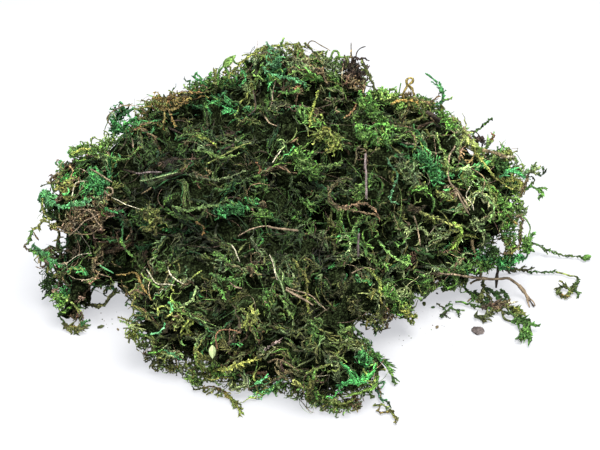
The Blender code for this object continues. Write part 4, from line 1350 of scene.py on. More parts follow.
def growClumps(look):
    # fine-leaved clumps here and there on the skin, each of one dye
    dice = np.random.default_rng(look["seed"])
    places = sowOnSkin(look["count"], dice)
    owners = ownersOf(places)
    _, normals = nearestOn(skin, places)
    radius = dice.uniform(*look["radius"], (look["count"], 1))
    middles = places - normals * look["sunk"] * radius
    each = look["strands"]
    paths = wander(np.repeat(middles, each, 0), np.repeat(radius, each, 0), dice)
    colours = np.repeat(pickDyes(places, owners, dice), each, 0)
    return {"paths": paths, "colours": colours, "owners": np.repeat(owners, each)}


# Strands that can be told apart in the photograph, laid on the heap by their pixels: the dye, the
# radius in millimetres, the line and the kind where it isn't a cord
seenStrands = [
    # left lump
    ("mint", 1.8, "39,200 44,192 50,201 60,207 74,205 90,198"),
    ("yellowGreen", 1.1, "71,155 81,149 91,148"),
    ("leafGreen", 0.9, "91,148 109,157 126,159 140,148"),
    ("straw", 0.4, "72,197 76,183 88,181", "wire"),
    ("tan", 0.6, "91,169 102,176 112,182", "wire"),
    ("tan", 0.7, "106,188 112,188 113,193 108,195 105,191", "wire"),
    ("straw", 0.32, "112,197 125,204 141,209", "wire"),
    ("brown", 0.5, "51,229 71,233 91,234 102,224", "wire"),
    ("brown", 0.6, "60,232 72,222 86,210 98,212"),
    ("tan", 0.35, "70,236 84,222 100,214", "hair"),
    ("tan", 0.35, "74,208 90,212 103,230", "hair"),
    ("straw", 0.32, "57,263 65,264 77,256 91,253", "wire"),
    ("mint", 0.4, "100,264 113,274", "hair"),
    ("tan", 0.4, "96,273 112,278", "wire"),
    ("olive", 1.2, "66,298 74,304 80,312"),
    ("darkOlive", 1.0, "84,304 102,306 108,298 118,290"),
    ("blueGreen", 1.2, "104,208 112,212 124,211"),
    ("midGreen", 1.0, "120,238 126,250 134,258"),
    ("darkOlive", 0.8, "40,186 52,183 62,178"),
    # shoulder
    ("ochre", 0.9, "168,98 184,92 205,93"),
    ("ochre", 0.8, "163,105 165,115 163,125"),
    ("ochre", 0.8, "168,108 172,118 175,127"),
    ("yellowGreen", 0.6, "168,90 175,93 190,92.5"),
    ("tan", 0.5, "132,138 133,148", "wire"),
    ("yellowGreen", 0.6, "128,157 134,152 141,146"),
    ("ochre", 1.0, "160,110 176,108 190,98"),
    ("midGreen", 1.6, "148,140 150,150 152,162"),
    ("blueGreen", 1.3, "118,118 126,112 136,108"),
    ("brown", 0.35, "112,128 108,118 118,108 132,104", "hair"),
    ("yellowGreen", 1.0, "196,136 208,140 216,145"),
    ("leafGreen", 1.1, "176,138 190,134 202,134"),
    # top
    ("mint", 1.2, "262,67 272,74 282,77 292,79 305,85"),
    ("olive", 1.0, "237,65 245,59 255,52 267,47 278,46 290,44"),
    ("olive", 0.8, "305,43 311,49 317,54"),
    ("rust", 0.8, "294,90 300,86 303,82"),
    ("yellowGreen", 0.9, "319,90 315,103 311,116 310,127"),
    ("darkBrown", 0.6, "253,91 255,101 255,110 248,116", "wire"),
    ("tan", 0.6, "265,117 270,123 277,126", "wire"),
    ("blueGreen", 1.4, "222,92 226,98 230,104"),
    ("brightGreen", 1.1, "278,92 290,93 300,90"),
    ("blueGreen", 1.0, "240,68 246,78 240,86"),
    # middle
    ("straw", 0.45, "272,163 276,157 281,150", "wire"),
    ("straw", 0.45, "232,245 236,253 240,262", "wire"),
    ("tan", 0.55, "238,236 250,230 262,226.5 270,226", "wire"),
    ("straw", 0.45, "270,255 274,267 277,280", "wire"),
    ("mauve", 0.6, "136,173 150,172 162,172", "wire"),
    ("greyGreen", 0.6, "140,181 155,178 178,172", "wire"),
    ("brown", 0.5, "142,194 152,187", "wire"),
    ("greyGreen", 1.0, "186,174 200,177 214,180 232,176 246,170"),
    ("leafGreen", 1.3, "172,206 184,210 200,208 218,204 228,198"),
    ("brown", 1.2, "192,170 200,176 210,174 204,168"),
    ("rust", 0.8, "256,162 260,168 259,174"),
    ("leafGreen", 1.0, "192,150 206,152 222,158 240,154"),
    ("olive", 0.6, "206,164 222,156 240,146 252,142", "wire"),
    ("ochre", 0.9, "196,222 204,228 202,236"),
    # right of the middle
    ("yellowGreen", 0.8, "319,134 328,131 334,138 332,148 324,150"),
    ("leafGreen", 1.1, "296,158 312,164 330,166 344,160"),
    ("brown", 1.3, "352,178 340,180 330,190 329,202 338,208"),
    ("brown", 1.0, "338,208 350,206 362,203 375,210 380,222"),
    ("greyGreen", 0.9, "338,242 346,236 350,246 344,256"),
    ("leafGreen", 0.9, "378,240 386,250 398,260 412,264"),
    ("mint", 0.9, "387,158 392,167 398,176 393,188 390,200 400,204"),
    ("leafGreen", 1.1, "436,132 440,146 446,160 448,176"),
    ("tan", 0.7, "455,146 450,156 448,170 450,182 460,194 470,210", "wire"),
    ("olive", 1.0, "464,136 474,150 484,164 498,180 512,190"),
    ("tan", 0.6, "414,216 418,230 420,246", "wire"),
    ("olive", 1.2, "420,212 434,218 450,224 464,226"),
    ("straw", 0.4, "470,186 466,196 472,204 474,210", "wire"),
    ("yellowGreen", 1.2, "452,222 462,230 458,242 450,250"),
    ("leafGreen", 1.0, "486,196 494,208 490,222"),
    ("tan", 0.8, "438,272.5 450,274 462,275.5 472,277", "wire"),
    ("brown", 0.5, "470,168 484,178 482,194", "wire"),
    ("midGreen", 1.1, "492,118 480,128 470,136"),
    ("yellowGreen", 1.3, "364,268 376,276 380,290 378,302"),
    ("tan", 0.5, "352,273 364,268 376,270", "wire"),
    ("brightGreen", 1.0, "366,130 380,124 396,128"),
    ("rust", 0.7, "344,118 352,112 356,104"),
    ("ochre", 0.9, "390,104 404,100 418,102"),
    ("darkOlive", 1.3, "404,124 416,120 430,116"),
    # front lump
    ("rust", 0.5, "217,349 216,335 222,330 234,330 240,333", "wire"),
    ("tan", 0.5, "286,288 296,291 308,294 318,302 327,310", "wire"),
    ("yellowGreen", 1.0, "293,258 300,268 307,280 307,296 309,314"),
    ("yellowGreen", 1.5, "240,308 248,316 246,326 256,318 250,306"),
    ("brightGreen", 1.4, "210,273 222,279 236,280 246,274"),
    ("brightGreen", 1.1, "212,284 222,292 226,300"),
    ("brown", 0.6, "268,362 277,359 290,365 299,371", "wire"),
    ("olive", 1.3, "207,371 227,369 245,362 261,360"),
    ("mint", 1.0, "254,384 262,380 268,374"),
    ("straw", 0.45, "147,270 157,283 175,285", "wire"),
    ("straw", 0.5, "168,267 172,276 184,284", "wire"),
    ("olive", 0.8, "158,316 158,308 166,306 172,312 166,318"),
    ("mint", 0.9, "168,302 172,308 170,316"),
    ("ochre", 0.7, "116,275 126,274 136,273 142,286 152,300"),
    ("mint", 0.8, "150,334 160,332 166,324"),
    ("mint", 0.8, "164,350 172,354 180,360"),
    ("tan", 0.6, "228,278 234,286 242,288", "wire"),
    ("greyGreen", 0.4, "272,258 278,276 286,298", "hair"),
    ("greyGreen", 1.0, "196,286 192,300 182,306"),
    ("leafGreen", 1.1, "280,296 286,306 292,318"),
    ("tan", 0.8, "264,350 274,344 282,338"),
    ("olive", 1.2, "306,374 318,368 332,364"),
    ("deepGreen", 1.3, "352,326 362,336 372,348"),
    ("blueGreen", 1.0, "340,362 350,372 356,384"),
    ("olive", 1.2, "330,400 344,404 356,398"),
    ("greyGreen", 1.0, "120,320 132,326 146,330"),
    ("brown", 0.9, "130,294 136,290 142,294"),
]


seenLift = 0.6              # what shows in the photograph lies this far over the skin
seenSpacing = 1.6


def linePoints(line, lift):
    # a strand's line on the heap, drawn back to it where a pixel falls past the edge
    knots = np.array([onHeap(u, v, lift) for u, v in placesOf(line)])
    return curveThrough(knots, seenSpacing)


seenRoutes = [linePoints(line, seenLift + radius) for _, radius, line, *_ in seenStrands]

# The long twig out of the right lump, in pixels with heights over the floor
twigLine = ("438,273,17 446,274,16 458,275,15 470,277,14 480,278,13.5 490,279,13 500,279,12 507,278.5,11 "
            "513,281,9 520,287,6 526,295,3")

# Dead stems caught in the moss: the node, the piece's slot, the dye, the radius and the route, all in
# millimetres
stems = {
    "twigMiddle": ("twig_middle", "dead_stem", "mauve", 0.5, [(27, -24, 88), (27, -33, 81), (27, -40, 72)]),
    "twigLower": ("twig_lower", "dead_stem", "mauve", 0.45, [(24, -45, 61), (23, -46, 54), (23, -47, 45)]),
    "strandHook": ("strand_hook", "dead_stem", "brown", 0.7,
                   [(9, -34, 76), (10, -37, 71), (13, -40, 68), (20, -42, 67), (31, -42, 65)]),
    "twigCrossed": ("twig_crossed", "dead_stem", "tan", 0.5,
                    [(-32, -51, 59), (-27, -50, 61), (-22, -48, 62), (-13, -45, 59), (-5, -40, 55)]),
    "strawFront": ("straw_front", "straw", "tan", 0.5, [(-11, -81, 49), (-3, -84, 46), (6, -92, 44)]),
    "twigRight": ("twig_right", "dead_stem", "tan", 0.5, [(71, -18, 65), (74, -21, 60), (78, -24, 54)]),
}
stemRoutes = {piece: routeInNode(look[0], look[4]) for piece, look in stems.items()}

# The moss gives way behind a strand or stem that shows in the photograph, in millimetres from it
giving = {
    "behind": 0.9,
    "beside": (1.3, 0.3),   # from where it starts to give way to where it gives way fully
    "deepest": -9,          # what lies further forward stays
    "stem": 0.8,
    "twig": 1.2,
    "block": 4000,          # points at a time
}


def makeWays():
    places, sizes = [], []
    for (_, radius, *_), route in zip(seenStrands, seenRoutes):
        places.append(route)
        sizes.append(np.full(len(route), radius))
    for piece, route in stemRoutes.items():
        places.append(route)
        sizes.append(np.full(len(route), stems[piece][3] + giving["stem"]))
    places.append(curveThrough([onFloor(*pixel) for pixel in placesOf(twigLine)], seenSpacing))
    sizes.append(np.full(len(places[-1]), giving["twig"]))
    return np.vstack(places), np.concatenate(sizes)


wayPlaces, waySizes = makeWays()
wayLooks = unit(wayPlaces - eye)


def givingWay(paths):
    # the paths, pushed back where they lie before or just behind such a strand
    flat = paths.reshape(-1, 3)
    moved = flat.copy()
    outer, inner = (waySizes + edge for edge in giving["beside"])
    for start in range(0, len(flat), giving["block"]):
        block = flat[start:start + giving["block"]]
        offset = block[:, None] - wayPlaces[None]
        behind = (offset * wayLooks[None]).sum(-1)
        beside = np.sqrt(np.maximum((offset ** 2).sum(-1) - behind ** 2, 0))
        push = (waySizes + giving["behind"] - behind) * smoothStep(-beside, -outer, -inner)
        push[(behind < giving["deepest"]) | (behind > waySizes + giving["behind"])] = 0
        best = push.argmax(1)
        moved[start:start + len(block)] += wayLooks[best] * push[np.arange(len(block)), best][:, None]
    moved[:, 2] = np.maximum(moved[:, 2], leastHeight["givenWay"])
    return moved.reshape(paths.shape)


# The mat's near-black colour is painted shade for the deep gaps between the strands
shadeMatLook = {"voxel": 3.2, "depth": 6.0, "foot": 2.2, "rough": 2.4, "colour": (0.007, 0.010, 0.004)}


def addShadeMat(tangle, name):
    # the tuft's own form, sunk behind its strands: a near-black sheet of painted shade
    def evenOut(holder):
        fine = holder.modifiers.new("fine", "REMESH")
        fine.mode = "VOXEL"
        fine.voxel_size = shadeMatLook["voxel"] * mm
        cutNotches(holder)

    mesh = modified(meshFrom(weldedNode(name), "mat"), evenOut)
    places, triangles = meshArrays(mesh)
    bpy.data.meshes.remove(mesh)
    spots, normals = nearestOn(smoothSkin, places)
    inside = -dot(places - spots, normals)[:, 0]
    depth = hollowDepth(spots) + shadeMatLook["depth"] + shadeMatLook["rough"] * softNoise(places, 5.0, 6)
    depth = depth + shadeMatLook["foot"] * smoothStep(-places[:, 2], -12, -2)
    sunk = spots - normals * depth[:, None]
    places = np.where((inside < depth)[:, None], sunk, places)
    places[:, 2] = np.maximum(places[:, 2], leastHeight["mat"])
    tone = np.exp(0.5 * softNoise(places, 4.0, 8))[:, None]
    # painted shade: the mat's near-black colour, with a little random tone
    addToTangle(tangle, places, triangles, np.array([shadeMatLook["colour"]]) * tone, False, inside=True)


print("growing bundles")
bundles = growBundles(bundleLook)
print("bundles:", len(bundles["ropes"]))
grown = {
    "bundles": bundleStrands(bundles, bundleLook),
    "under": growSingles(underLook),
    "curls": growSingles(curlLook),
    "hairs": growSingles(hairLook),
    "clumps": growClumps(clumpLook),
    "feathers": growSingles(featherLook),
}
for name, strands in grown.items():
    if name != "under":
        strands["paths"] = givingWay(strands["paths"])
    strands["owners"][inNotch(strands["paths"]) > 1] = -1       # left out
    print(name + ":", len(strands["paths"]), "strands")
seenOwners = [ownersOf(route[len(route) // 2][None])[0] for route in seenRoutes]


bladeLook = {"rows": 12, "columns": 7, "thick": 0.3, "fold": 0.35, "arch": 0.05, "ripple": 0.12}


def addLeafBlade(tangle, base, tip, halfWidth, dye, facing):
    # a pointed leaf with a midrib, closed on both sides
    rows, columns = bladeLook["rows"], bladeLook["columns"]
    way = unit(tip - base)
    side = unit(np.cross(way, facing))
    up = np.cross(side, way)
    length = np.linalg.norm(tip - base)
    share = np.linspace(0, 1, rows)[:, None]
    across = np.linspace(-1, 1, columns)[None]
    width = halfWidth * np.sin(math.pi * np.clip(share ** 0.8, 0.02, 0.985)) ** 0.8
    rise = np.abs(across) * bladeLook["fold"] * width + bladeLook["arch"] * length * np.sin(math.pi * share)
    ripple = bladeLook["ripple"] * np.sin(share * 21 + np.abs(across) * 5) * np.abs(across)
    middle = (base + way * share[..., None] * length + side * (across * width)[..., None]
              + up * (rise + ripple)[..., None])
    edge = bladeLook["thick"] / 2 * (1 - 0.7 * np.abs(across) ** 3) * np.ones_like(share)
    upper = middle + up * edge[..., None]
    lower = middle - up * edge[..., None]
    points = np.concatenate([upper.reshape(-1, 3), lower.reshape(-1, 3)])
    faces, under = [], rows * columns
    for row in range(rows - 1):
        for column in range(columns - 1):
            a = row * columns + column
            b, c, d = a + 1, a + 1 + columns, a + columns
            faces += [(a, b, c), (a, c, d)]
            faces += [(a + under, c + under, b + under), (a + under, d + under, c + under)]
    rim = ([column for column in range(columns)]
           + [row * columns + columns - 1 for row in range(1, rows)]
           + [(rows - 1) * columns + column for column in range(columns - 2, -1, -1)]
           + [row * columns for row in range(rows - 2, 0, -1)])
    for here, after in zip(rim, rim[1:] + rim[:1]):
        faces += [(here, here + under, after + under), (here, after + under, after)]
    rib = 1 + 0.35 * np.exp(-(across / 0.16) ** 2) * np.ones_like(share)
    veins = 1 + 0.12 * np.sin(share * 40 - np.abs(across) * 9)
    half = np.where(across < 0, 0.75, 1.05) * np.ones_like(share)
    tone = (rib * veins * half)[..., None] * np.array(dyes[dye])
    colours = np.concatenate([tone.reshape(-1, 3), tone.reshape(-1, 3) * 0.8])
    addToTangle(tangle, points, np.array(faces), np.minimum(colours, lightest), True)


def addWisp(tangle, kind, dye, radius, points, dice):
    if kind == "cord":
        layCord(tangle, points, radius, dye, dice)
    elif kind == "wire":
        layWire(tangle, points, radius * wireShare, dye, dice, fibres=1)
    elif kind == "hair":
        layWire(tangle, points, radius, dye, dice, crook=0.8, fibres=0)
    else:
        addLeafBlade(tangle, points[0], points[-1], radius, dye, towardsEye)


def addByTurns(tangle, paths, colours, dice):
    # every other strand is slim, the rest are knotty
    addKind(tangle, "slim", paths[::2], colours[::2], dice)
    addKind(tangle, "knotty", paths[1::2], colours[1::2], dice)


def ofTuft(index, name, dice, frizz=None):
    # the strands of that name that one tuft owns, and their dyes
    mine = grown[name]["owners"] == index
    paths = grown[name]["paths"][mine]
    if frizz:
        paths = frizzed(paths, *frizz, dice)
    return paths, toned(grown[name]["colours"][mine], dice)


# How a tuft's bundled strands are shared out: the share of each kind and its brightness
bundleKinds = {"leafy": (0.28, 1), "slim": (0.14, 1), "knotty": (0.46, 1), "wiry": (0.12, 1.2)}
tanHairs = 0.4              # the share of the loose hairs that are tan
seeds = {"tufts": 100, "stems": 200, "strays": 300}
tuftMaterial = mossMaterial("dyedMoss")
for index, (pieceName, tuft) in enumerate(tufts.items()):
    dice = np.random.default_rng(seeds["tufts"] + index)
    tangle = newTangle()
    addShadeMat(tangle, tuft["node"])
    paths, colours = ofTuft(index, "bundles", dice)
    drawn = dice.choice(len(bundleKinds), len(paths), p=[share for share, _ in bundleKinds.values()])
    for number, (kind, (_, brightness)) in enumerate(bundleKinds.items()):
        addKind(tangle, kind, paths[drawn == number], colours[drawn == number] * brightness, dice)
    addKind(tangle, "knotty", *ofTuft(index, "under", dice), dice)
    paths, colours = ofTuft(index, "curls", dice, curlFrizz)
    half = dice.uniform(size=len(paths)) < 0.5
    addKind(tangle, "knotty", paths[half], colours[half], dice)
    addKind(tangle, "slim", paths[~half], colours[~half], dice)
    paths, colours = ofTuft(index, "feathers", dice)
    ups = grown["feathers"]["ups"][grown["feathers"]["owners"] == index]
    addFeathers(tangle, paths, ups, colours, mossFeather, dice)
    paths, colours = ofTuft(index, "hairs", dice)
    brownish = dice.uniform(size=(len(paths), 1)) < tanHairs
    colours = np.where(brownish, toned(np.tile(dyes["tan"], (len(paths), 1)), dice, 0.4), colours)
    addKind(tangle, "hair", paths, colours, dice)
    for (dye, radius, _, *kind), route, owner in zip(seenStrands, seenRoutes, seenOwners):
        if owner == index:
            addWisp(tangle, kindOf(kind), dye, radius, route, dice)
    for dye, radius, root, line, *kind in wisps.get(pieceName, []):
        radius *= wispGrowth[kindOf(kind)]
        addWisp(tangle, kindOf(kind), dye, radius, wispRoute(root, line), dice)
    for dye, radius, count, line in fringes.get(pieceName, []):
        paths = givingWay(growFringe(line, radius, count, dice))
        addByTurns(tangle, paths, toned(np.tile(dyes[dye], (count, 1)), dice) * fringePaintedShade, dice)
    addByTurns(tangle, *ofTuft(index, "clumps", dice), dice)
    makePiece(pieceName, tangle, [tuft["node"]], tuftMaterial)
for wedge in wedges:
    bpy.data.meshes.remove(wedge.data)      # and the object with it


barkMaterial = mossMaterial("deadStem", mottle=0.5, leafShade=(1.15, 0.6), each=(0.7, 1.3), grain=2000.0)
for index, (pieceName, (node, slot, dye, radius, _)) in enumerate(stems.items()):
    dice = np.random.default_rng(seeds["stems"] + index)
    tangle = newTangle()
    if pieceName == "strandHook":       # the only leafy one
        layCord(tangle, stemRoutes[pieceName], radius, dye, dice, 1.5)
    else:
        layWire(tangle, stemRoutes[pieceName], radius, dye, dice, crook=0.35, fibres=4)
    makePiece(pieceName, tangle, [node], barkMaterial)


# Strays on the floor: the node, its slot and the parts, each a dye, a radius, a line of places and
# the kind where it isn't a cord
strays = {
    "trailingStrandUpper": {"node": "trailing_strand_upper", "slot": "sprig_green", "parts": [
        ("brightGreen", 1.82, "520,240,16 525,240,13 530,242,10"),
        ("leafGreen", 0.84, "528,242,11 537,245,7 545,248,5 550,251,4 556,253,3"),
        ("leafGreen", 1.12, "543,247.5,5 550,250.5,4"),
        ("midGreen", 0.77, "555,253,3 562,255,2.4 568,256,2 574,256,2 580,257,2"),
        ("midGreen", 0.84, "579,256,2 583,259,2 586,259,2"),
        ("midGreen", 1.6, "585,257.6,2.2 589,257.4,2.2", "pebble"),
    ]},
    "trailingStrandLower": {"node": "trailing_strand_lower", "slot": "sprig_green", "parts": [
        ("darkOlive", 1.54, "500,266,7 508,269,4 516,270,3 524,270,2 530,272,2"),
        ("midGreen", 0.77, "528,272,2 540,272,2 551,272,2 557,272.5,2"),
        ("olive", 0.49, "555,272.5,2 563,273,2 570,276,2 576,277,2 578,280,2.4", "hair"),
        ("leafGreen", 1.12, "577,278,2.2 578,281,2.4 576,285,2.6 573,289,2.6"),
        ("olive", 1.82, "575,284,2.4 573,289,2.6 569,292,2.4"),
        ("midGreen", 1.12, "570,291,2.4 576,292,2 579,296,1.6"),
        ("olive", 1.4, "570,290,2.4 565,286.5,2.6 560,288,2.4 557.5,292,2 561,295.5,1.6 566,296,1.6 "
         "570,293,2"),
        ("ochre", 0.98, "559,294,1.6 564,296.5,1.4 569,295,1.6"),
    ]},
    "twigLong": {"node": "twig_long", "slot": "dead_stem", "parts": [
        ("tan", 1.26, twigLine, "wire"),
        ("tan", 1.54, "519,286,6.4 525,293,3.6 530,301,1.6", "wire"),
        ("brown", 0.98, "470,284,9 475,281,11 482,279,13", "wire"),
        ("darkBrown", 0.7, "526,295,3 530,301,1.6 534,307,0.9", "wire"),
        ("tan", 0.42, "527,296,3 528,301,1.6 530,307,0.8", "hair"),
        ("tan", 0.42, "527,296,3 533,302,1.6 535,306,0.9", "hair"),
    ]},
    "sprigRight": {"node": "sprig_right", "slot": "sprig_green", "parts": [
        ("olive", 1.26, "483,280,9 484,286,6 482,293,5 481,300,4 486,305,3"),
        ("midGreen", 1.4, "463,287,5 469,292,4.4 474,297,4 479,299,4"),
        ("deepGreen", 1.4, "474,292,4 478,295,4 482,300,3.6 484,305,3"),
        ("deepGreen", 1.54, "485,288,5 491,291,4.6 497,294,4 501,298,3.4 505,302,3"),
        ("midGreen", 1.12, "492,291,4.4 499,299,3.6 503,303,3"),
        ("midGreen", 1.12, "500,289,3 504,293,2.8 507,298,2.6"),
        ("deepGreen", 0.7, "504,292,2.8 507,296,2.6 508.5,300,2.4", "hair"),
        ("olive", 0.98, "486,293,4.4 490,298,4 494,302,3.4"),
        ("deepGreen", 1.12, "483,295,4 488,301,3.6 493,305,3"),
        ("midGreen", 0.56, "455,302,1.8 462,302,1.8 468,304,2", "hair"),
        ("midGreen", 1.12, "466,303.5,2 474,306,2.2 482,307,2.6 488,307,3"),
        ("brown", 0.49, "468,301,2 471,298,2.6 475,299,3", "hair"),
        ("brown", 2.24, "482,310,2.6 488,306,3 496,304,3.2 503,305,3.2 506,309,3"),
        ("olive", 1.82, "475,316,1.8 480,317,2 486,315.5,2.4 491,312,2.8"),
        ("darkOlive", 1.4, "487,312,2.4 495,311,2.6 501,311,2.8 503,314,2.4"),
        ("straw", 0.98, "498,302.5,3.4 508,303,3 518,301.5,2.4", "wire"),
        ("yellowGreen", 2.2, "505,306,3.2 511,308,3.2 516,312,3 518,317,3"),
        ("leafGreen", 1.12, "504,312,2.6 510,314,2.6 517,316,2.8"),
        ("darkOlive", 0.63, "502,313,2 504,318,1.4 509,321,1.4 514,322,1.8", "hair"),
        ("brightGreen", 1.4, "511,323,1.6 517,321,2.4 522,320,3"),
        ("brightGreen", 2.35, "517,318,3 523,321,3.4 527,326,3.4 527,333,3.2 524,338,2.8"),
        ("brightGreen", 1.75, "521,321,3.2 525,327,3.4 525,334,3"),
        ("leafGreen", 1.12, "522,328,2.2 521,336,1.8 521,343,1.2"),
    ]},
    "sprigSmall": {"node": "sprig_small", "slot": "sprig_green", "parts": [
        ("darkOlive", 0.7, "436,303,2.6 441,306,2 444,308,1.8"),
        ("midGreen", 0.85, "443,309,1.8 448,305.5,2 452.5,303,1.8"),
        ("midGreen", 1.0, "442,318,1.2 443.5,313,1.6 448,309.5,2.2 453,308.5,2.2 457,311,1.8 459,315.5,1.2"),
        ("darkOlive", 0.98, "440,316,1.2 444,314,1.6 446,316,1.2"),
    ]},
    "sprigFront": {"node": "sprig_front", "slot": "sprig_green", "parts": [
        ("midGreen", 0.98, "357,377,8 362,373,8 367,367,8 371,362,8"),
        ("brightGreen", 1.4, "370,363,8 374,358,8.4 374,353,9 371,353,9 371,357,8.6"),
        ("midGreen", 0.7, "373,357,8.4 379,359,8 385,363,7 389,369,5.4 391,374,4", "comb"),
        ("brightGreen", 0.63, "375,358,8.6 381,361,7.8 386,366,6.4 390,373,4.4", "comb"),
        ("brightGreen", 1.05, "389,371,5 392,377,3.2 394,381,2.2 396,384,1.6"),
        ("brightGreen", 0.84, "370,366,7.4 373,366,7.2 377,366,7"),
        ("leafGreen", 0.7, "378,369,6 375,372,4.6"),
    ]},
    "sprigCurly": {"node": "sprig_curly", "slot": "sprig_olive", "parts": [
        ("brightGreen", 1.12, "362,377,6 366,383,4.4 367,389,3 363,395,1.6"),
        ("olive", 0.7, "364,380,5 371,381,4.4 376,384,3.6 379,389,3 381,394,2.4 380,399,2"),
        ("mint", 0.7, "377,386,3.2 379,383,3.4 383,382.5,3 383,386,2.4 380,387,2.4"),
        ("brown", 0.7, "369,384,3.6 373,387,3 377,390,2.4"),
        ("mint", 1.05, "375,390,2.4 379,394,2.2 380.5,399,2 384,401,1.8"),
        ("deepGreen", 0.63, "383,401,1.8 387,401.5,1.8 389,405,1.6 387,409,1.4"),
        ("yellowGreen", 0.84, "373,406,1.2 379,405.5,1.6 384,406,1.6 387,408,1.4"),
        ("ochre", 0.7, "380,407,1.4 378.5,411,1.2 381,413,1.2 386,412,1.4 390,410.5,1.6"),
        ("yellowGreen", 1.05, "388,410.5,1.6 392,412,1.8 395,417,1.6 396,425,1.2"),
    ]},
    "sprigFrontLeft": {"node": "sprig_front_left", "slot": "sprig_olive", "parts": [
        ("darkOlive", 0.7, "192,386,2.4 196,390,1.6 203,388.5,2 208,388,2"),
        ("ochre", 0.84, "202,388,2 210,386.5,2.2 217,388,2.2 224,392,2 230,397,2"),
        ("yellowGreen", 1.26, "227,395,2 233,400,2 237,405,1.8 239.5,410,1.4 239.5,415,1"),
        ("olive", 0.84, "216,388.5,2 211,392,1.4 206,394.5,1"),
        ("olive", 0.84, "204,388.5,1.8 205,391.5,1.2 209,390.5,1.4"),
        ("olive", 0.98, "221,391,2 217,394,1.4 220,395.5,1.2 224,394,1.6"),
        ("ochre", 0.84, "225,394,1.8 228,398,1.4 233,399,1.6"),
        ("yellowGreen", 0.7, "231,400,1.6 233,405,1.2 236,405,1.4"),
        ("yellowGreen", 0.63, "238,406,1.6 234,407.5,1"),
    ]},
    "sprigFoot": {"node": "sprig_foot", "slot": "sprig_green", "parts": [
        ("midGreen", 0.84, "57,314,5 60,318,3 64,322,2"),
        ("midGreen", 0.84, "57,317,4 64,315,4 71,316,3.4 77,319,2.4"),
        ("olive", 1.82, "62,323,2 69,327,2.6 76,329,2.6 82,328,2.4"),
        ("ochre", 1.26, "66,325,2.8 73,327,3 79,328,2.6"),
        ("blueGreen", 1.12, "80,328,2.2 83,324,2.6 86,321,2"),
        ("midGreen", 0.98, "81,327,2 85,326,1.6 87,324,1.4"),
    ]},
}


strayPaintedShade = 0.62           # painted shade: nothing shades a stray, so its dye is darkened
strayGrowth = 1.35          # and the leaflets stand clear
combLook = {"lean": 52, "sides": (1,), "length": 4.2, "branch": 0.5}     # branchlets on one side only


def addStrayPart(tangle, kind, dye, radius, line, dice):
    points = np.array([onFloor(*pixel) for pixel in placesOf(line)])
    up = np.array([0.0, 0.0, 1.0])
    if kind == "pebble":
        way = unit(points[1] - points[0])
        across = unit(np.cross(way, up))
        turn = np.stack([way, across, np.cross(way, across)], 1)
        addPebble(tangle, points.mean(0), (radius * 1.35, radius, radius * 0.9), dye, dice, 0.35, turn=turn)
    elif kind == "comb":
        stem = curveThrough(points, 1.4)
        look = {**combLook, "stem": radius * 0.8, "pairs": max(6, int(lengthOf(stem) / 1.5))}
        facing = unit(towardsEye + up)
        colour = toned(np.array([dyes[dye]]), dice, 0.1) * strayPaintedShade
        addFeathers(tangle, stem[None], facing[None], colour, look, dice)
        layCord(tangle, points, radius, dye, dice, 0.5, strayPaintedShade)
    elif kind == "cord":
        layCord(tangle, points, radius * strayGrowth, dye, dice, 1.3, strayPaintedShade)
    else:
        addWisp(tangle, kind, dye, radius, points, dice)


for index, (pieceName, stray) in enumerate(strays.items()):
    dice = np.random.default_rng(seeds["strays"] + index)
    tangle = newTangle()
    for dye, radius, line, *kind in stray["parts"]:
        addStrayPart(tangle, kindOf(kind), dye, radius, line, dice)
    material = barkMaterial if stray["slot"] == "dead_stem" else tuftMaterial
    makePiece(pieceName, tangle, [stray["node"]], material)


# The pale leaf and the crumb of bark take their nodes' places; smaller crumbs lie round about

leafPixel = (213, 352)
leafFullness = 0.8          # the solid is a little fuller than the dry leaf


def makeLeaf():
    corners = nodePoints("leaf_pale")
    middle = corners.mean(0)
    _, _, axes = np.linalg.svd(corners - middle)
    reach = (corners - middle) @ axes.T
    half = (reach.max(0) - reach.min(0)) / 2 * leafFullness
    thin = axes[2] * np.sign(-dot(axes[2], pixelRay(*leafPixel)[1]))
    tangle = newTangle()
    addLeafBlade(tangle, middle - axes[0] * half[0], middle + axes[0] * half[0], half[1], "paleLeaf", thin)
    leafMaterial = mossMaterial("paleLeaf", mottle=0.15, leafShade=(1.1, 0.9), each=(0.85, 1.1), bump=0.1)
    makePiece("leafPale", tangle, ["leaf_pale"], leafMaterial)


makeLeaf()
chipStretch = (0.84, 1.35, 1.0)     # the solid is a little longer and narrower than the chip


def makeChip():
    build = weldedNode("bark_chip")
    bmesh.ops.subdivide_edges(build, edges=build.edges, cuts=3, use_grid_fill=True, smooth=0.4)
    bmesh.ops.triangulate(build, faces=build.faces)
    mesh = meshFrom(build, "chip")
    places, triangles = meshArrays(mesh)
    bpy.data.meshes.remove(mesh)
    centre = places.mean(0)
    places = centre + (places - centre) * chipStretch
    rough = 0.45 * softNoise(places, 1.6, 51) + 0.3 * softNoise(places, 0.7, 52)
    places = places + unit(places - centre) * rough[:, None]
    tone = np.exp(0.9 * softNoise(places, 1.2, 53))[:, None] * np.array(dyes["bark"])
    tangle = newTangle()
    addToTangle(tangle, places, triangles, tone, False)
    makePiece("barkChip", tangle, ["bark_chip"], barkMaterial)


makeChip()

crumbs = {
    "seed": 71,
    "seen": [((424, 305), "darkOlive", 1.2), ((437, 328), "brown", 0.9), ((101, 328), "darkOlive", 1.3),
             ((118, 330), "brown", 0.7), ((433, 308), "deepGreen", 0.8), ((437, 294), "darkBrown", 0.6),
             ((463, 311), "greyGreen", 0.7), ((426, 286), "brown", 0.6)],
    "dust": [((420, 320), 22, 16), ((110, 320), 14, 10), ((400, 345), 16, 8)],     # middle, spread, count
    "dustSize": (0.15, 0.42),
    "dustDyes": ["darkOlive", "tan", "greyGreen"],
}


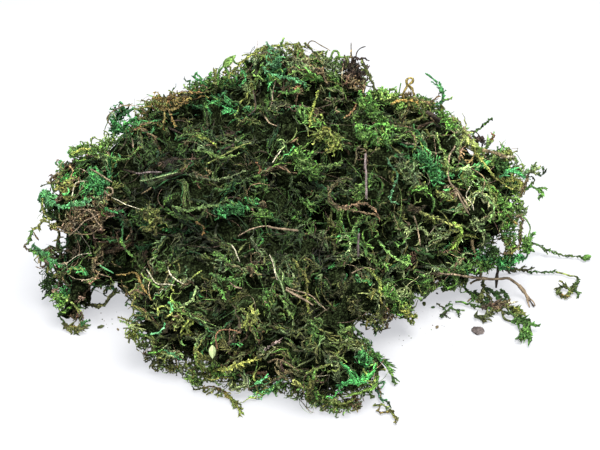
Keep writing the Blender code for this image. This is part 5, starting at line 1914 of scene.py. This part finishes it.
def makeCrumbs():
    dice = np.random.default_rng(crumbs["seed"])
    tangle = newTangle()
    for (u, v), dye, size in crumbs["seen"]:
        half = np.array([size * 1.4, size * 0.8, size * 0.6])
        angle = dice.uniform(0, math.tau)
        cosine, sine = math.cos(angle), math.sin(angle)
        turn = np.array([[cosine, -sine, 0], [sine, cosine, 0], [0, 0, 1]])
        addPebble(tangle, onFloor(u, v) + np.array([0, 0, half[2]]), half, dye, dice, 0.5, 2, turn)
    for (u, v), spread, count in crumbs["dust"]:
        for _ in range(count):
            spot = onFloor(u + dice.normal(0, spread), v + dice.normal(0, spread * 0.4))
            size = dice.uniform(*crumbs["dustSize"])
            addPebble(tangle, spot + np.array([0, 0, size * 0.6]), (size, size * 0.7, size * 0.6),
                      dice.choice(crumbs["dustDyes"]), dice, 0.4, 1)
    makePiece("crumbs", tangle, [], barkMaterial)


makeCrumbs()


# Floor, light and camera
studio = {
    "floorColour": (0.155, 0.156, 0.158),
    "glow": (0.54, 0.545, 0.57),         # the paper lets light through from below
    "world": (0.90, 0.95, 1.0),
    "worldStrength": 1.22,
    "floorSize": 6.0,                    # half its side, in metres
    "aim": (0, 0, 0.04),                 # where both lights point
    "key": {"place": (0.2, -0.4, 1.3), "size": 1.0, "power": 54.0, "colour": (1.0, 0.985, 0.96)},
    "fill": {"place": (-0.6, -0.7, 0.7), "size": 0.9, "power": 7.0, "colour": (1.0, 1.0, 1.0)},
}


def makeFloor():
    build = bmesh.new()
    bmesh.ops.create_grid(build, x_segments=1, y_segments=1, size=studio["floorSize"])
    floor = inScene("floor", meshFrom(build, "floor"))
    paper = bpy.data.materials.new("whitePaper")
    paper.use_nodes = True
    shader = paper.node_tree.nodes["Principled BSDF"]
    shader.inputs["Base Color"].default_value = (*studio["floorColour"], 1)
    shader.inputs["Roughness"].default_value = 0.9
    shader.inputs["Specular IOR Level"].default_value = 0.1
    shader.inputs["Emission Color"].default_value = (*studio["glow"], 1)
    shader.inputs["Emission Strength"].default_value = 1.0
    floor.data.materials.append(paper)


def makeLight(name, look):
    lamp = bpy.data.lights.new(name, "AREA")
    lamp.shape = "DISK"
    lamp.size = look["size"]
    lamp.energy = look["power"]
    lamp.color = look["colour"]
    holder = inScene(name, lamp)
    holder.location = look["place"]
    way = Vector(studio["aim"]) - Vector(look["place"])
    holder.rotation_euler = way.to_track_quat("-Z", "Y").to_euler()


def makeCamera():
    lens = bpy.data.cameras.new("photoCamera")
    lens.lens = camera["lens"]
    lens.sensor_width = camera["sensor"]
    lens.clip_start = 0.01
    holder = inScene("photoCamera", lens)
    holder.location = Vector(camera["place"]) * mm
    holder.rotation_euler = (math.radians(90 - camera["pitch"]), 0, 0)
    bpy.context.scene.camera = holder


makeFloor()
makeLight("keyLight", studio["key"])
makeLight("fillLight", studio["fill"])
makeCamera()
world = bpy.data.worlds.new("studioWorld")
world.use_nodes = True
background = world.node_tree.nodes["Background"]
background.inputs["Color"].default_value = (*studio["world"], 1)
background.inputs["Strength"].default_value = studio["worldStrength"]
bpy.context.scene.world = world
bpy.context.scene.view_settings.view_transform = "Standard"
print("stage set")
